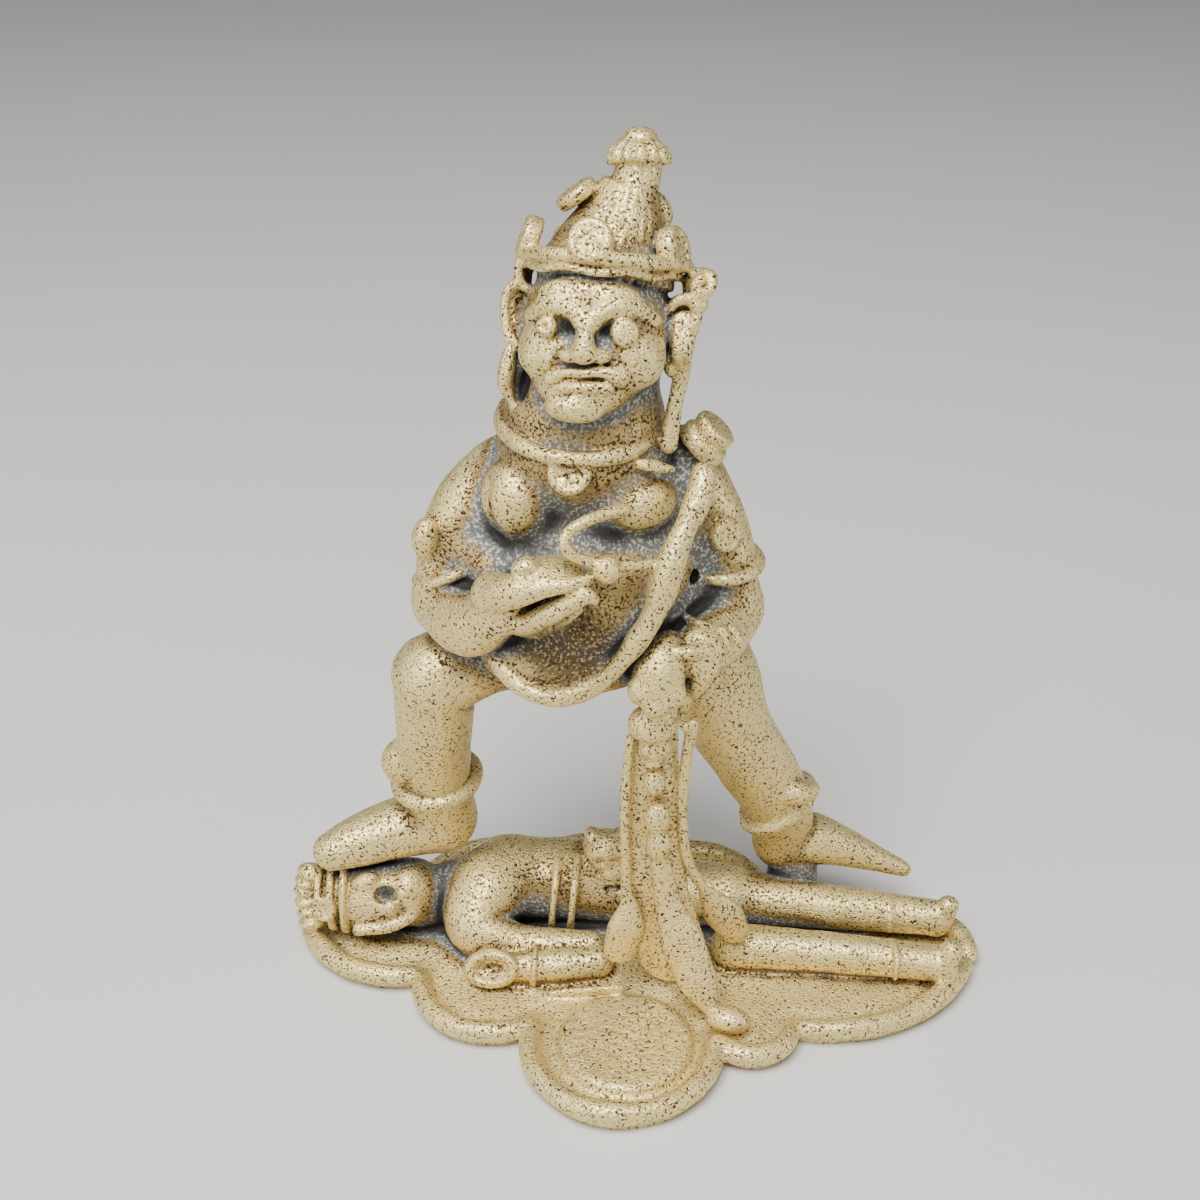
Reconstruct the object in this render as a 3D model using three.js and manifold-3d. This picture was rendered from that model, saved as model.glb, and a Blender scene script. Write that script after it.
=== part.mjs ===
// A small cast brass statue of Jambhala, the god of wealth: a pot-bellied standing figure with one foot on the
// crowned head of a figure that lies across a lobed base. It is one casting, so it is one mesh.
// Millimetres, +Z up. The origin is on the underside of the base, below the figure, and -Y is the front.
// The places are drawn at about the real size, and the finished shape is then brought to HEIGHT exactly.
// Right and left are the figure's own, so its right arm is at -X.
import * as THREE from "three";
import { mergeVertices } from "three/addons/utils/BufferGeometryUtils.js";
import Module from "manifold-3d";

const wasm = await Module();
wasm.setup();

// Driving dimensions.
const HEIGHT = 65; // underside of the base to the tip of the crown
const PLATE = 1.2; // thickness of the base plate
const RIM = 0.85; // radius of the rolled rim of the base
const RIM_HEIGHT = 1.35; // height of the middle of the rim
const BAND = 0.45; // radius of the bands worn at the arms and the neck
const STRAND = 0.5; // radius of a jewel strand
const PETALS = 8; // petals round the bud on the tip of the crown
const CROWN_JEWELS = 5; // round jewels that stand on the crown's band
const CROWN_RADIUS = 5.5;
const LOCKS = 10; // locks of hair that rise inside the crown

// The head leans back, tips to the figure's left and turns a little to its right. The hair tips further.
const HEAD = [-3.0, -1.2, 52.3];
const HEAD_LEAN = 19;
const HEAD_TIP = 5;
const HAIR_TIP = 11;
const HEAD_TURN = -8;

// Places on the body, from which the limbs are drawn.
const BODY = {
  neck: [-3.7, -0.8, 48.4],
  chest: [-3.7, 0.2, 40.2],
  belly: [-3.4, -1.2, 34.6],
  hips: [-2.6, 1.6, 29.6],
  rightShoulder: [-10.2, 0.3, 42.0],
  rightUpperArm: [-12.9, -1.4, 37.4],
  rightElbow: [-13.2, -2.4, 33.0],
  rightWrist: [-9.4, -7.7, 35.2],
  leftShoulder: [2.6, 0.3, 42.2],
  leftUpperArm: [5.6, -1.0, 37.2],
  leftElbow: [6.2, -1.7, 31.8],
  leftWrist: [3.4, -6.9, 31.4],
  rightHip: [-6.0, 0.4, 28.2],
  rightKnee: [-14.6, -2.0, 26.5],
  rightAnkle: [-15.2, 1.4, 14.0],
  rightHeel: [-15.1, 2.4, 10.5],
  rightToe: [-23.3, 0.1, 9.3],
  leftHip: [1.8, 1.2, 28.4],
  leftKnee: [6.6, 1.2, 20.6],
  leftAnkle: [10.9, 3.2, 11.6],
  leftHeel: [11.6, 4.2, 7.2],
  leftToe: [21.3, 3.2, 5.0],
};

// Places on the figure that lies on the base.
const LYING = {
  head: [-20.6, 0.6, 4.7],
  crown: [-25.4, 0.3, 7.1],
  shoulder: [-10.2, 2.0, 5.0],
  waist: [-5.0, 2.4, 4.5],
  hip: [7.0, 1.6, 3.5],
  elbow: [-12.3, -1.8, 3.8],
  hand: [-3.6, -3.5, 3.1],
  lowerElbow: [-10.4, -5.3, 2.3],
  lowerHand: [-3.0, -4.9, 2.5],
  farFoot: [23.2, -0.3, 3.0],
  nearHip: [7.4, -3.4, 2.7],
  nearFoot: [23.0, -5.2, 2.6],
};

const TRIANGLES = 9800; // most triangles in the finished mesh
const BRASS = 0x9a8458;

const degrees = THREE.MathUtils.degToRad;
const v3 = (p) => new THREE.Vector3(...p);
const move = (p, dx, dy, dz) => [p[0] + dx, p[1] + dy, p[2] + dz];
const bothSides = (make) => [-1, 1].map(make);

// A closed three.js geometry as a solid that can be joined and cut.
function solid(geometry) {
  const bare = geometry.clone();
  bare.deleteAttribute("normal");
  bare.deleteAttribute("uv");
  const merged = mergeVertices(bare, 1e-4);
  const made = new wasm.Manifold(
    new wasm.Mesh({
      numProp: 3,
      vertProperties: merged.attributes.position.array,
      triVerts: new Uint32Array(merged.index.array),
    }),
  );
  return made.volume() < 0 ? solid(turnedInsideOut(merged)) : made;
}

function turnedInsideOut(geometry) {
  const index = geometry.index.array;
  for (let i = 0; i < index.length; i += 3) {
    [index[i + 1], index[i + 2]] = [index[i + 2], index[i + 1]];
  }
  return geometry;
}

const joined = (solids) => solids.reduce((whole, piece) => whole.add(piece));

// The value at t, from 0 to 1, of a list of radii that are spread evenly.
function along(list, t) {
  const place = t * (list.length - 1);
  const i = Math.min(Math.floor(place), list.length - 2);
  return THREE.MathUtils.lerp(list[i], list[i + 1], place - i);
}

// A limb: a round bar along a curve through the points, with a list of radii and rounded ends.
// flat squeezes it along the facing direction, as a strap or a leaf is.
function limb(points, radii, { sides = 9, rows = 6, flat = 1, facing = [0, 1, 0.02] } = {}) {
  const curve = new THREE.CatmullRomCurve3(points.map(v3), false, "centripetal");
  const cap = sides > 7 ? [0, Math.SQRT1_2] : [0]; // share of the radius on each row that rounds an end
  const all = rows + 2 * cap.length;
  const ball = new THREE.SphereGeometry(1, sides, all);
  const position = ball.attributes.position;
  const face = v3(facing).normalize();
  for (let row = 0; row <= all; row += 1) {
    const near = row < cap.length;
    const far = row > all - cap.length;
    const t = near ? 0 : far ? 1 : (row - cap.length) / rows;
    const share = near ? cap[row] : far ? cap[all - row] : 1;
    const radius = along(radii, t);
    const forward = curve.getTangent(t);
    const side = new THREE.Vector3().crossVectors(face, forward).normalize();
    const front = new THREE.Vector3().crossVectors(forward, side).normalize();
    const reach = Math.sqrt(1 - share * share) * (near ? -1 : 1);
    const centre = curve.getPoint(t).addScaledVector(forward, reach * radius);
    for (let i = 0; i <= sides; i += 1) {
      const turn = (i / sides) * 2 * Math.PI;
      const p = centre
        .clone()
        .addScaledVector(side, Math.cos(turn) * radius * share)
        .addScaledVector(front, Math.sin(turn) * radius * share * flat);
      position.setXYZ(row * (sides + 1) + i, p.x, p.y, p.z);
    }
  }
  return solid(ball);
}

// A ball or egg with three radii, turned by angles in degrees about X, Y and Z.
function egg(centre, radii, { turn = [0, 0, 0], sides = 12, rows = 8 } = {}) {
  const euler = new THREE.Euler(...turn.map(degrees));
  const geometry = new THREE.SphereGeometry(1, sides, rows)
    .rotateX(Math.PI / 2)
    .scale(...radii)
    .applyMatrix4(new THREE.Matrix4().makeRotationFromEuler(euler))
    .translate(...centre);
  return solid(geometry);
}

// A shape turned about Z from a profile of [radius, height] points that starts and ends on the axis.
// waves cuts that many flutes of the given depth into its side, with four facets to a flute.
function turned(profile, { sides = 14, waves = 0, depth = 0 } = {}) {
  const points = profile.map(([radius, height]) => new THREE.Vector2(radius, height));
  const geometry = new THREE.LatheGeometry(points, waves ? waves * 4 : sides).rotateX(Math.PI / 2);
  const position = geometry.attributes.position;
  for (let i = 0; waves && i < position.count; i += 1) {
    const x = position.getX(i);
    const y = position.getY(i);
    const wave = 1 + depth * Math.cos(waves * Math.atan2(y, x));
    position.setXYZ(i, x * wave, y * wave, position.getZ(i));
  }
  return solid(geometry);
}

// Moves a solid so that its Z axis points along the normal and its origin lies at the centre.
function placed(piece, centre, normal) {
  const turn = new THREE.Quaternion().setFromUnitVectors(new THREE.Vector3(0, 0, 1), v3(normal).normalize());
  const matrix = new THREE.Matrix4().compose(v3(centre), turn, new THREE.Vector3(1, 1, 1));
  return piece.transform(matrix.elements);
}

// A round jewel like a thick coin, with a hollow of the given depth in its face. Its face is along the normal.
function jewel(centre, normal, radius, thick, { hollow = 0, sides = 14 } = {}) {
  const lip = radius * 0.7;
  const bowl = [
    [lip, thick],
    [0, thick - hollow],
  ];
  const profile = [[0, 0], [radius, thick * 0.3], [radius * 0.9, thick], ...(hollow ? bowl : [[0, thick]])];
  return placed(turned(profile, { sides }), centre, normal);
}

// A ring round a limb: a bar bent along an ellipse whose half-widths are the vectors wide and deep.
function ring(centre, wide, deep, bar, { from = 0, to = 359.9, sides = 7, rows = 18 } = {}) {
  const STEP = 30;
  const count = Math.ceil((to - from) / STEP);
  const points = Array.from({ length: count + 1 }, (_, i) => {
    const turn = degrees(from + ((to - from) * i) / count);
    return v3(centre)
      .addScaledVector(v3(wide), Math.cos(turn))
      .addScaledVector(v3(deep), Math.sin(turn))
      .toArray();
  });
  const facing = new THREE.Vector3().crossVectors(v3(wide), v3(deep)).toArray();
  return limb(points, [bar, bar], { sides, rows, facing });
}

// The head is built upright about its own middle and then set on the neck.
function onNeck(piece) {
  const matrix = new THREE.Matrix4()
    .makeTranslation(...HEAD)
    .multiply(new THREE.Matrix4().makeRotationY(degrees(HEAD_TIP)))
    .multiply(new THREE.Matrix4().makeRotationX(degrees(-HEAD_LEAN)))
    .multiply(new THREE.Matrix4().makeRotationZ(degrees(HEAD_TURN)));
  return piece.transform(matrix.elements);
}

// A round face with bulging eyes under one heavy brow, a broad nose and a downturned mouth.
function face() {
  const skull = joined([
    egg([0, 0, 0.2], [4.8, 4.9, 4.9], { sides: 17, rows: 11 }),
    ...bothSides((s) => egg([s * 2.5, -2.6, -1.3], [2.35, 2.5, 2.3])),
    egg([0, -3.2, -3.3], [2.3, 2.1, 1.7]),
  ]);
  const hollows = joined([
    ...bothSides((s) => egg([s * 2.1, -4.9, 0.35], [1.45, 0.95, 0.85], { sides: 10, rows: 6 })),
    limb([[-1.8, -4.9, -3.0], [0, -5.6, -2.5], [1.8, -4.9, -3.0]], [0.28, 0.28], { sides: 6, rows: 3 }),
  ]);
  const features = [
    limb([[-3.5, -3.5, 0.9], [-2.1, -4.6, 1.8], [0, -5.3, 1.1], [2.1, -4.6, 1.8], [3.5, -3.5, 0.9]], [0.35, 0.55, 0.6, 0.55, 0.35], { rows: 10 }),
    ...bothSides((s) => jewel([s * 2.15 - 0.2, -4.1, 0.2], [s * 0.25, -1, 0], 0.82, 0.95, { hollow: 0.2, sides: 12 })),
    limb([[0, -4.9, 1.1], [0, -5.6, -0.1], [0, -6.0, -0.85]], [0.62, 0.68, 0.8], { rows: 3 }),
    ...bothSides((s) => egg([s * 1.0, -5.3, -1.05], [0.75, 0.65, 0.55], { sides: 9, rows: 6 })),
    limb([[-2.3, -4.5, -2.6], [-1.3, -5.1, -2.0], [0, -5.4, -1.85], [1.3, -5.1, -2.0], [2.3, -4.5, -2.6]], [0.35, 0.45, 0.35, 0.45, 0.35], { rows: 8 }),
    limb([[-1.5, -4.75, -3.3], [0, -5.2, -3.05], [1.5, -4.75, -3.3]], [0.35, 0.42, 0.35], { sides: 7, rows: 3 }),
    egg([0, -4.3, -4.3], [1.6, 1.2, 0.95], { rows: 6 }),
  ];
  return joined([skull.subtract(hollows), ...features]);
}

// Ears with an arched rim round a hollow and long lobes. The left one carries a long pendant.
function ears() {
  const flap = { sides: 7, rows: 7, flat: 0.9, facing: [0, 1, 0] };
  const rightRim = [[-4.2, -0.8, 1.6], [-5.3, -1.1, 2.0], [-5.8, -1.2, 0.8], [-5.3, -1.0, -1.2], [-5.5, -1.4, -3.2], [-5.2, -1.5, -5.6]];
  const leftRim = [[4.2, -0.8, 1.4], [5.5, -1.3, 1.8], [5.9, -1.2, 0.6], [5.3, -1.1, -1.2]];
  return [
    limb(rightRim, [0.5, 0.5, 0.45, 0.5, 0.65, 0.55], flap),
    limb(leftRim, [0.5, 0.5, 0.45, 0.5], flap),
    ...bothSides((s) => egg([s * 4.9, 0.2, -0.4], [0.85, 1.1, 2.4], { sides: 9, rows: 6 })),
    egg([-4.6, 0.3, -3.2], [1.0, 1.3, 2.4], { sides: 9, rows: 6 }),
  ];
}

// A point on a level circle round the head, with 0 degrees at the front and 90 at the figure's left.
function aroundHead(radius, height, azimuth) {
  const turn = degrees(azimuth);
  return [radius * Math.sin(turn), -radius * Math.cos(turn), height];
}

// Two bands with jewels stand round a cone of hair, with leaves above and a bud at the tip.
function crown() {
  const band = (radius, height, bar) => ring([0, 0.1, height], [radius, 0, 0], [0, radius, 0], bar, { rows: 20 });
  const cap = turned([[0, 2], [5.1, 2], [5.4, 3.2], [5.1, 4.1], [0, 4.1]], { sides: 20 });
  const jewels = Array.from({ length: CROWN_JEWELS }, (_, i) => {
    const azimuth = -4 + (i * 360) / CROWN_JEWELS;
    const hollow = Math.abs(azimuth - 180) > 90 ? 0.3 : 0;
    return jewel(aroundHead(4.2, 5.1, azimuth), aroundHead(1, 0.28, azimuth), 1.35, 1.3, { hollow });
  });
  const rosettes = bothSides((s) => egg([s * 5.6, 0, 2.7], [1.0, 1.2, 1.4]));
  return [cap, band(CROWN_RADIUS, 3.9, 0.55), band(5.2, 2.7, 0.36), ...jewels, ...rosettes, tipped(joined(hair()))];
}

function hair() {
  const locks = turned([[0, 3], [4.6, 3.6], [3.9, 6.1], [2.6, 7.9], [1.1, 10], [0, 10.2]], { waves: LOCKS, depth: 0.06 });
  const leaves = [[-88, 7.5], [84, 8.4], [150, 8], [-150, 8]].map(([azimuth, height]) =>
    jewel(aroundHead(2.2, height - 0.5, azimuth), aroundHead(1, 0.85, azimuth), 1.55, 1.5),
  );
  const bud = turned([[0, 9.8], [1.7, 10.0], [2.1, 10.5], [1.75, 11.3], [1.1, 12.1], [0, 12.4]], { waves: PETALS, depth: 0.08 });
  return [locks, ...leaves, bud, egg([0, 0, 12.45], [1.05, 1.05, 0.95])];
}

// The hair turns about the middle of the crown's band.
function tipped(piece) {
  const [up, back] = [3, -3].map((height) => new THREE.Matrix4().makeTranslation(0, 0, height));
  return piece.transform(up.multiply(new THREE.Matrix4().makeRotationY(degrees(HAIR_TIP))).multiply(back).elements);
}

function pendant() {
  return limb([[2.8, -1.9, 52.2], [2.4, -2.3, 49.8], [1.5, -3.6, 45.0]], [0.55, 0.5, 0.6], { sides: 7, rows: 4 });
}

// The trunk: a full chest over a pot belly, a thick neck in a collar, and one medallion.
function trunk() {
  const { neck, chest, belly, hips } = BODY;
  return [
    egg(chest, [8.4, 5.6, 5.4], { sides: 17, rows: 10 }),
    egg(belly, [8.0, 7.6, 7.0], { sides: 20, rows: 13 }),
    egg(hips, [7.4, 5.2, 5.0], { sides: 14, rows: 8 }),
    egg(move(chest, -3.9, -4.2, 1.7), [2.7, 2.8, 2.8], { sides: 13, rows: 8 }),
    egg(move(chest, 3.9, -4.1, 1.7), [3.2, 2.9, 2.7], { sides: 13, rows: 8 }),
    limb([move(neck, 0.1, -0.2, 1.6), neck, move(neck, -0.3, 0, -3.8)], [4.2, 4.4, 5.7], { sides: 14, rows: 4 }),
    ring(move(neck, -0.6, -0.2, -2.6), [5.1, 0, -0.2], [0, 5.6, 0.25], 0.5, { rows: 22 }),
    jewel(move(neck, -1.2, -5.3, -4.2), [-0.1, -1, 0.35], 1.42, 1.3, { hollow: 0.25 }),
  ];
}

// The right arm is bent and brings a bowl to the chest. A knot of cloth stands on its outer side.
function rightArm() {
  const { rightShoulder: shoulder, rightUpperArm: upper, rightElbow: elbow, rightWrist: wrist } = BODY;
  return [
    limb([shoulder, move(shoulder, -1.7, -0.8, -1.8), upper, elbow], [2.5, 2.5, 2.2, 2.4], { sides: 12, rows: 7 }),
    limb([elbow, move(elbow, 1.6, -3.0, 0), wrist], [2.6, 2.4, 1.7], { sides: 12, rows: 6 }),
    limb([move(upper, 2.4, 0.2, 1.2), move(wrist, 0, 3.8, -1.2)], [2.2, 2.2], { rows: 3 }),
    ring(move(upper, -0.2, -0.5, -1.8), [2.8, 0, 1.3], [0, -2.85, 0.4], BAND, { from: -120, to: 210, rows: 11 }),
    egg(move(upper, -1.8, -1.0, 0.5), [0.95, 0.95, 1.45], { sides: 10 }),
  ];
}

// The bowl lies between a thumb above and fingers below. A ribbon falls from the chest to a ball beside it.
function rightHand() {
  const wrist = BODY.rightWrist;
  const chest = BODY.chest;
  const cord = { sides: 7, rows: 6 };
  return [
    limb([move(wrist, -0.6, 0.5, 0.2), move(wrist, 0.8, -0.9, 1.2), move(wrist, 2.6, -1.9, 2.5), move(wrist, 5.3, -2.5, 3.1)], [1.55, 1.5, 0.95, 0.5]),
    limb([move(wrist, 1, -0.5, 0), move(wrist, 3, -1.9, 0.4), move(wrist, 5, -2.7, 1.6), move(wrist, 6.6, -2.6, 2.6)], [0.9, 0.85, 0.75, 0.6]),
    egg(move(wrist, 3.6, -0.8, 3.4), [2.3, 1.7, 1.1], { rows: 6 }),
    limb([move(wrist, 1, 0.5, 4), move(wrist, 2.8, -0.3, 4.8), move(wrist, 4.2, -0.7, 5.4)], [0.5, 0.5], { sides: 7, rows: 3 }),
    limb([move(chest, 2.9, -6.4, 1.8), move(chest, 1.1, -8.1, 2), move(chest, -0.6, -8.9, 1.6), move(chest, -1.4, -9.2, 0.9)], [0.6, 0.5, 0.45, 0.5], cord),
    limb([move(chest, -1.4, -9.2, 0.9), move(chest, -0.8, -9.5, -0.2), move(chest, 0.3, -9.6, -0.8)], [0.5, 0.5, 0.4], { sides: 7, rows: 3 }),
    egg(move(chest, 1.1, -9.4, -1.2), [0.95, 0.95, 0.95], { sides: 10 }),
  ];
}

// The left arm hangs, with a round jewel and a band on it. Two discs are pinned to its shoulder.
function leftArm() {
  const { leftShoulder: shoulder, leftUpperArm: upper, leftElbow: elbow, leftWrist: wrist } = BODY;
  const outwards = [0.55, -0.25, 0.8];
  return [
    limb([shoulder, move(shoulder, 1.9, -0.6, -1.4), upper, elbow], [2.6, 2.6, 2.45, 2.7], { sides: 12, rows: 7 }),
    limb([elbow, move(elbow, -0.9, -2.7, -0.8), wrist], [2.7, 2.3, 1.9], { sides: 12, rows: 6 }),
    limb([move(upper, -2.2, -0.2, 0.6), move(elbow, -2.4, -0.5, 0)], [2.6, 2.6], { rows: 3 }),
    ring(move(upper, 0.6, -0.4, -2), [2.85, 0, -0.15], [0, -2.9, 0.3], BAND, { from: -60, to: 200, rows: 11 }),
    jewel(move(upper, 0.2, -1.7, 1.3), [0.45, -1, 0.25], 1.22, 1.3, { hollow: 0.2 }),
    jewel(move(shoulder, 1.1, -1.4, 0.5), outwards, 1.9, 1.5),
    jewel(move(shoulder, 1.8, -1.7, 1.6), outwards, 1.6, 1.35),
  ];
}

// The left hand hangs out of a cuff and holds the mongoose by the neck, head down.
function leftHand() {
  const wrist = BODY.leftWrist;
  return [
    limb([move(wrist, -2.7, -1.4, 0.4), move(wrist, -1.2, -2, 0.4), move(wrist, 0.4, -1.5, 0.2), move(wrist, 1.4, -0.3, -0.4)], [0.45, 0.55, 0.8, 0.8]),
    limb([move(wrist, 0.8, -0.9, -0.2), move(wrist, 0.9, -0.9, -2), move(wrist, 0.4, -0.3, -4.2)], [1.1, 0.9, 0.4], { rows: 4, flat: 0.7 }),
    limb([move(wrist, -1.8, -0.7, 0.2), move(wrist, -2.1, -1.1, -2), move(wrist, -2.4, -0.9, -3.8), move(wrist, -2.5, -0.9, -5.6), move(wrist, -2.45, -0.8, -8)], [1.6, 2.05, 1.4, 1.6, 0.8], { sides: 12, rows: 11 }),
    limb([move(wrist, -0.8, 1.9, -0.8), move(wrist, -1.2, 0.7, -3), move(wrist, -1.5, 0.5, -5)], [1.8, 1.5, 1.1], { rows: 3 }),
  ];
}

// A twisted sash crosses the chest and joins a cord that hangs under the belly.
function sash() {
  const { chest, belly } = BODY;
  const across = [
    move(chest, 7.7, -4.1, 3.6),
    move(chest, 6.6, -6.2, 2.1),
    move(chest, 4.6, -8.5, -2.8),
    move(chest, 3.6, -8.9, -6.2),
    move(chest, 2.5, -8.7, -8.8),
  ];
  const below = [
    move(belly, 2.5, -6.2, -3),
    move(belly, 0.8, -7, -5.2),
    move(belly, -2, -7.3, -6),
    move(belly, -4.8, -6.7, -5.1),
    move(belly, -6.8, -5.4, -3.2),
  ];
  return [limb(across, [0.95, 0.9, 1.05, 0.8, 0.45], { rows: 11 }), limb(below, [0.6, 0.75, 0.75, 0.7, 0.4], { rows: 11 })];
}

// The right leg is lifted: the thigh runs out level to the knee, and the foot stands on the lying head.
function rightLeg() {
  const { rightHip: hip, rightKnee: knee, rightAnkle: ankle, rightHeel: heel, rightToe: toe } = BODY;
  const sole = { sides: 13, facing: [0, 0, 1], flat: 0.92 };
  return [
    limb([hip, move(hip, -4.5, -1.2, -0.2), knee], [3.7, 3.0, 3.1], { sides: 13, rows: 6 }),
    limb([knee, move(knee, -0.4, 1.4, -5.8), move(ankle, -0.1, 0, 1), move(ankle, 0.2, 0.6, -2)], [3.05, 2.75, 2.6, 2.5], { sides: 13, rows: 8 }),
    ring(move(ankle, 0, 0, 1.2), [2.95, 0, 0.3], [0, -2.95, -0.3], 0.6, { rows: 17 }),
    limb([heel, move(heel, -3.1, -0.5, -0.3), move(heel, -6.5, -1.5, -0.9), toe], [2.6, 2.5, 2.1, 1.65], sole),
    limb([move(ankle, -1.5, -1.8, 5.3), move(ankle, -2.4, -1.5, 3.9), move(ankle, -2.5, -0.8, 2.2)], [1.1, 1.6, 1.0], { rows: 3 }),
  ];
}

// The left leg is straight and braced, with a knotted anklet and a pointed foot whose heel stands on the base.
function leftLeg() {
  const { leftHip: hip, leftKnee: knee, leftAnkle: ankle, leftHeel: heel, leftToe: toe } = BODY;
  const sole = { sides: 13, rows: 7, facing: [0, 0, 1], flat: 0.92 };
  return [
    limb([hip, move(hip, 3, -0.4, -3), knee, ankle, heel], [4.0, 3.6, 3.1, 2.6, 2.3], { sides: 13, rows: 11 }),
    ring(ankle, [2.5, 0, 1.35], [-0.2, -2.6, -0.3], 0.55, { rows: 17 }),
    limb([move(ankle, -0.4, -2.4, 2.8), move(ankle, 1.2, -2.5, 2.7), move(ankle, 2.3, -1.6, 2.4)], [0.85, 0.95, 0.7], { rows: 3 }),
    limb([heel, move(heel, 2.4, -0.1, 0.1), move(heel, 5.4, -0.4, -0.7), toe], [2.3, 2.2, 1.5, 0.6], sole),
    limb([[12.4, 3.8, 1], [12.6, 3.8, 5.4]], [2.3, 1.9], { rows: 2 }),
  ];
}

// Jewels pour from the mongoose's mouth: three strands that end in leaves, on a thin web of metal.
function jewelFall() {
  const leaf = { sides: 10, rows: 4, flat: 0.55 };
  const bead = { sides: 9, rows: 6 };
  const web = { sides: 9, rows: 7, flat: 0.22, facing: [0, 1, 0.1] };
  return [
    limb([[1.0, -6.4, 25], [0.9, -6.3, 18], [1.4, -6.3, 11], [2.6, -6.3, 4.5]], [1.5, 2.0, 2.2, 2.6], web),
    limb([[-0.9, -6.9, 26.5], [-1.1, -7.0, 20], [-0.95, -7.0, 12], [-0.9, -7.0, 8.0]], [STRAND, STRAND], { sides: 7, rows: 6 }),
    limb([[-0.8, -7.2, 9.8], [-1.0, -7.4, 8.0], [-1.4, -7.4, 6.0]], [0.6, 1.6, 1.2], leaf),
    ...[[0.95, 21.3, 1.7], [1.1, 17.4, 1.9], [1.5, 14.0, 1.8]].map(([x, z, tall]) => egg([x, -7.6, z], [1.0, 0.95, tall], bead)),
    limb([[1.6, -7.4, 12.8], [2.1, -7.5, 10.4], [3.1, -8.2, 7.6], [4.3, -9.3, 4.6], [5.2, -10.2, 2.8]], [0.7, 0.85, 1.6, 1.5, 0.6], { ...leaf, rows: 8 }),
    egg([6.5, -10.8, 2.3], [1.7, 1.1, 1.0], { turn: [0, 0, -15], sides: 10 }),
    limb([[3.1, -6.9, 27.2], [2.9, -7.0, 20], [3.3, -6.8, 14.4], [5.0, -6.1, 10]], [STRAND, STRAND], { sides: 7, rows: 7 }),
    limb([[4.9, -6.2, 10.4], [6.2, -5.7, 8.0], [7.3, -5.3, 5.8]], [0.7, 1.5, 1.1], leaf),
  ];
}

// The lying figure: its head is under the raised foot, its arms are folded and its legs lie to the right.
function lyingFigure() {
  const { head, shoulder, waist, hip, elbow, hand, farFoot, nearHip, nearFoot } = LYING;
  const toe = { sides: 7, rows: 2 };
  return [
    limb([move(head, -2.9, 0.1, 0), head, move(head, 2.9, 0, 0.2)], [2.2, 3.0, 2.6], { sides: 12, rows: 4 }),
    egg(move(head, 2.9, -0.8, 1.4), [1.4, 1.8, 1.6], { sides: 9, rows: 6 }),
    egg(move(head, -0.4, -1.5, 2.3), [1.1, 0.7, 0.7], { turn: [0, -25, 0], sides: 9, rows: 6 }),
    limb([move(head, 3.8, 0.6, -1.1), shoulder], [2.2, 2.8], { rows: 2 }),
    limb([shoulder, move(shoulder, -1.4, -1.6, 0), elbow, move(elbow, 2.4, -1.5, -0.6), hand], [3.5, 3.3, 2.5, 1.6, 1.0], { sides: 12, rows: 10 }),
    limb([move(shoulder, 0.8, 0.2, -0.2), waist, move(waist, 4.5, 0, -0.9), hip], [3.3, 3.3, 3.0, 2.6], { sides: 12, rows: 7 }),
    ...[-1.4, 0.1].map((dx) => ring(move(waist, dx, -0.8, -0.2), [0.3, 0.2, 3.4], [-0.2, -3.4, 0], 0.35, { to: 180, rows: 7, sides: 6 })),
    limb([hip, move(hip, 7, -0.9, -0.1), farFoot], [2.3, 1.8, 1.4], { rows: 4, sides: 10 }),
    limb([nearHip, move(nearHip, 7, -0.6, 0), nearFoot], [1.8, 1.55, 1.35], { rows: 4, sides: 10 }),
    limb([move(farFoot, 0.4, 0, -0.6), move(farFoot, 1.1, -0.2, 1.2)], [1.0, 0.8], toe),
    limb([move(nearFoot, 0, 0.1, -0.6), move(nearFoot, 0.6, -0.2, 1.2)], [1.0, 0.8], toe),
    ...lyingCrown(),
    ...foldedArm(),
    ...smallHead(),
  ];
}

// Its crown: two bands round the head, a rosette on the near side, and a ribbed topknot that hangs down at the end.
function lyingCrown() {
  const { head, crown } = LYING;
  const RIBS = 5;
  const drop = new THREE.QuadraticBezierCurve3(v3(crown), v3(move(crown, -0.7, 0, -2)), v3(move(crown, 0.1, -1, -4.3)));
  const ribs = Array.from({ length: RIBS }, (_, i) => egg(drop.getPoint(i / (RIBS - 1)).toArray(), [1.0, 1.0, 0.62], { rows: 6 }));
  const core = limb(drop.getPoints(3).map((p) => p.toArray()), [0.75, 0.75]);
  const bands = [-4.1, -3.1].map((dx) => {
    return ring(move(head, dx, 0.1, 0), [0, -2.3 - 0.3 * (dx + 4), 0], [0, 0, 2.4 + 0.3 * (dx + 4)], 0.36, { from: -60, to: 150, rows: 8 });
  });
  return [core, ...ribs, ...bands, jewel(move(head, -3.4, -1.9, 0.2), [-0.35, -1, 0.3], 1.05, 0.9, { hollow: 0.3 })];
}

// The lower arm in front of the body, with a cuff, and the open ring jewel at its elbow.
function foldedArm() {
  const { lowerElbow, lowerHand } = LYING;
  const middle = move(lowerElbow, 3.8, 0.1, 0.2);
  return [
    limb([lowerElbow, middle, lowerHand], [1.25, 1.3, 1.2], { rows: 3 }),
    ring(move(middle, -1.3, 0, 0), [0, -1.5, 0], [0.1, 0, 1.5], 0.3, { from: -60, to: 180, rows: 7, sides: 6 }),
    jewel(move(lowerElbow, -0.5, -0.1, 0.2), [-0.25, -1, 0.55], 1.95, 1.1, { hollow: 0.6, sides: 14 }),
    limb([move(middle, 0, -2.1, -1), move(middle, 5.2, -1.9, -0.7)], [0.35, 0.5], { sides: 7, rows: 2 }),
  ];
}

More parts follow.
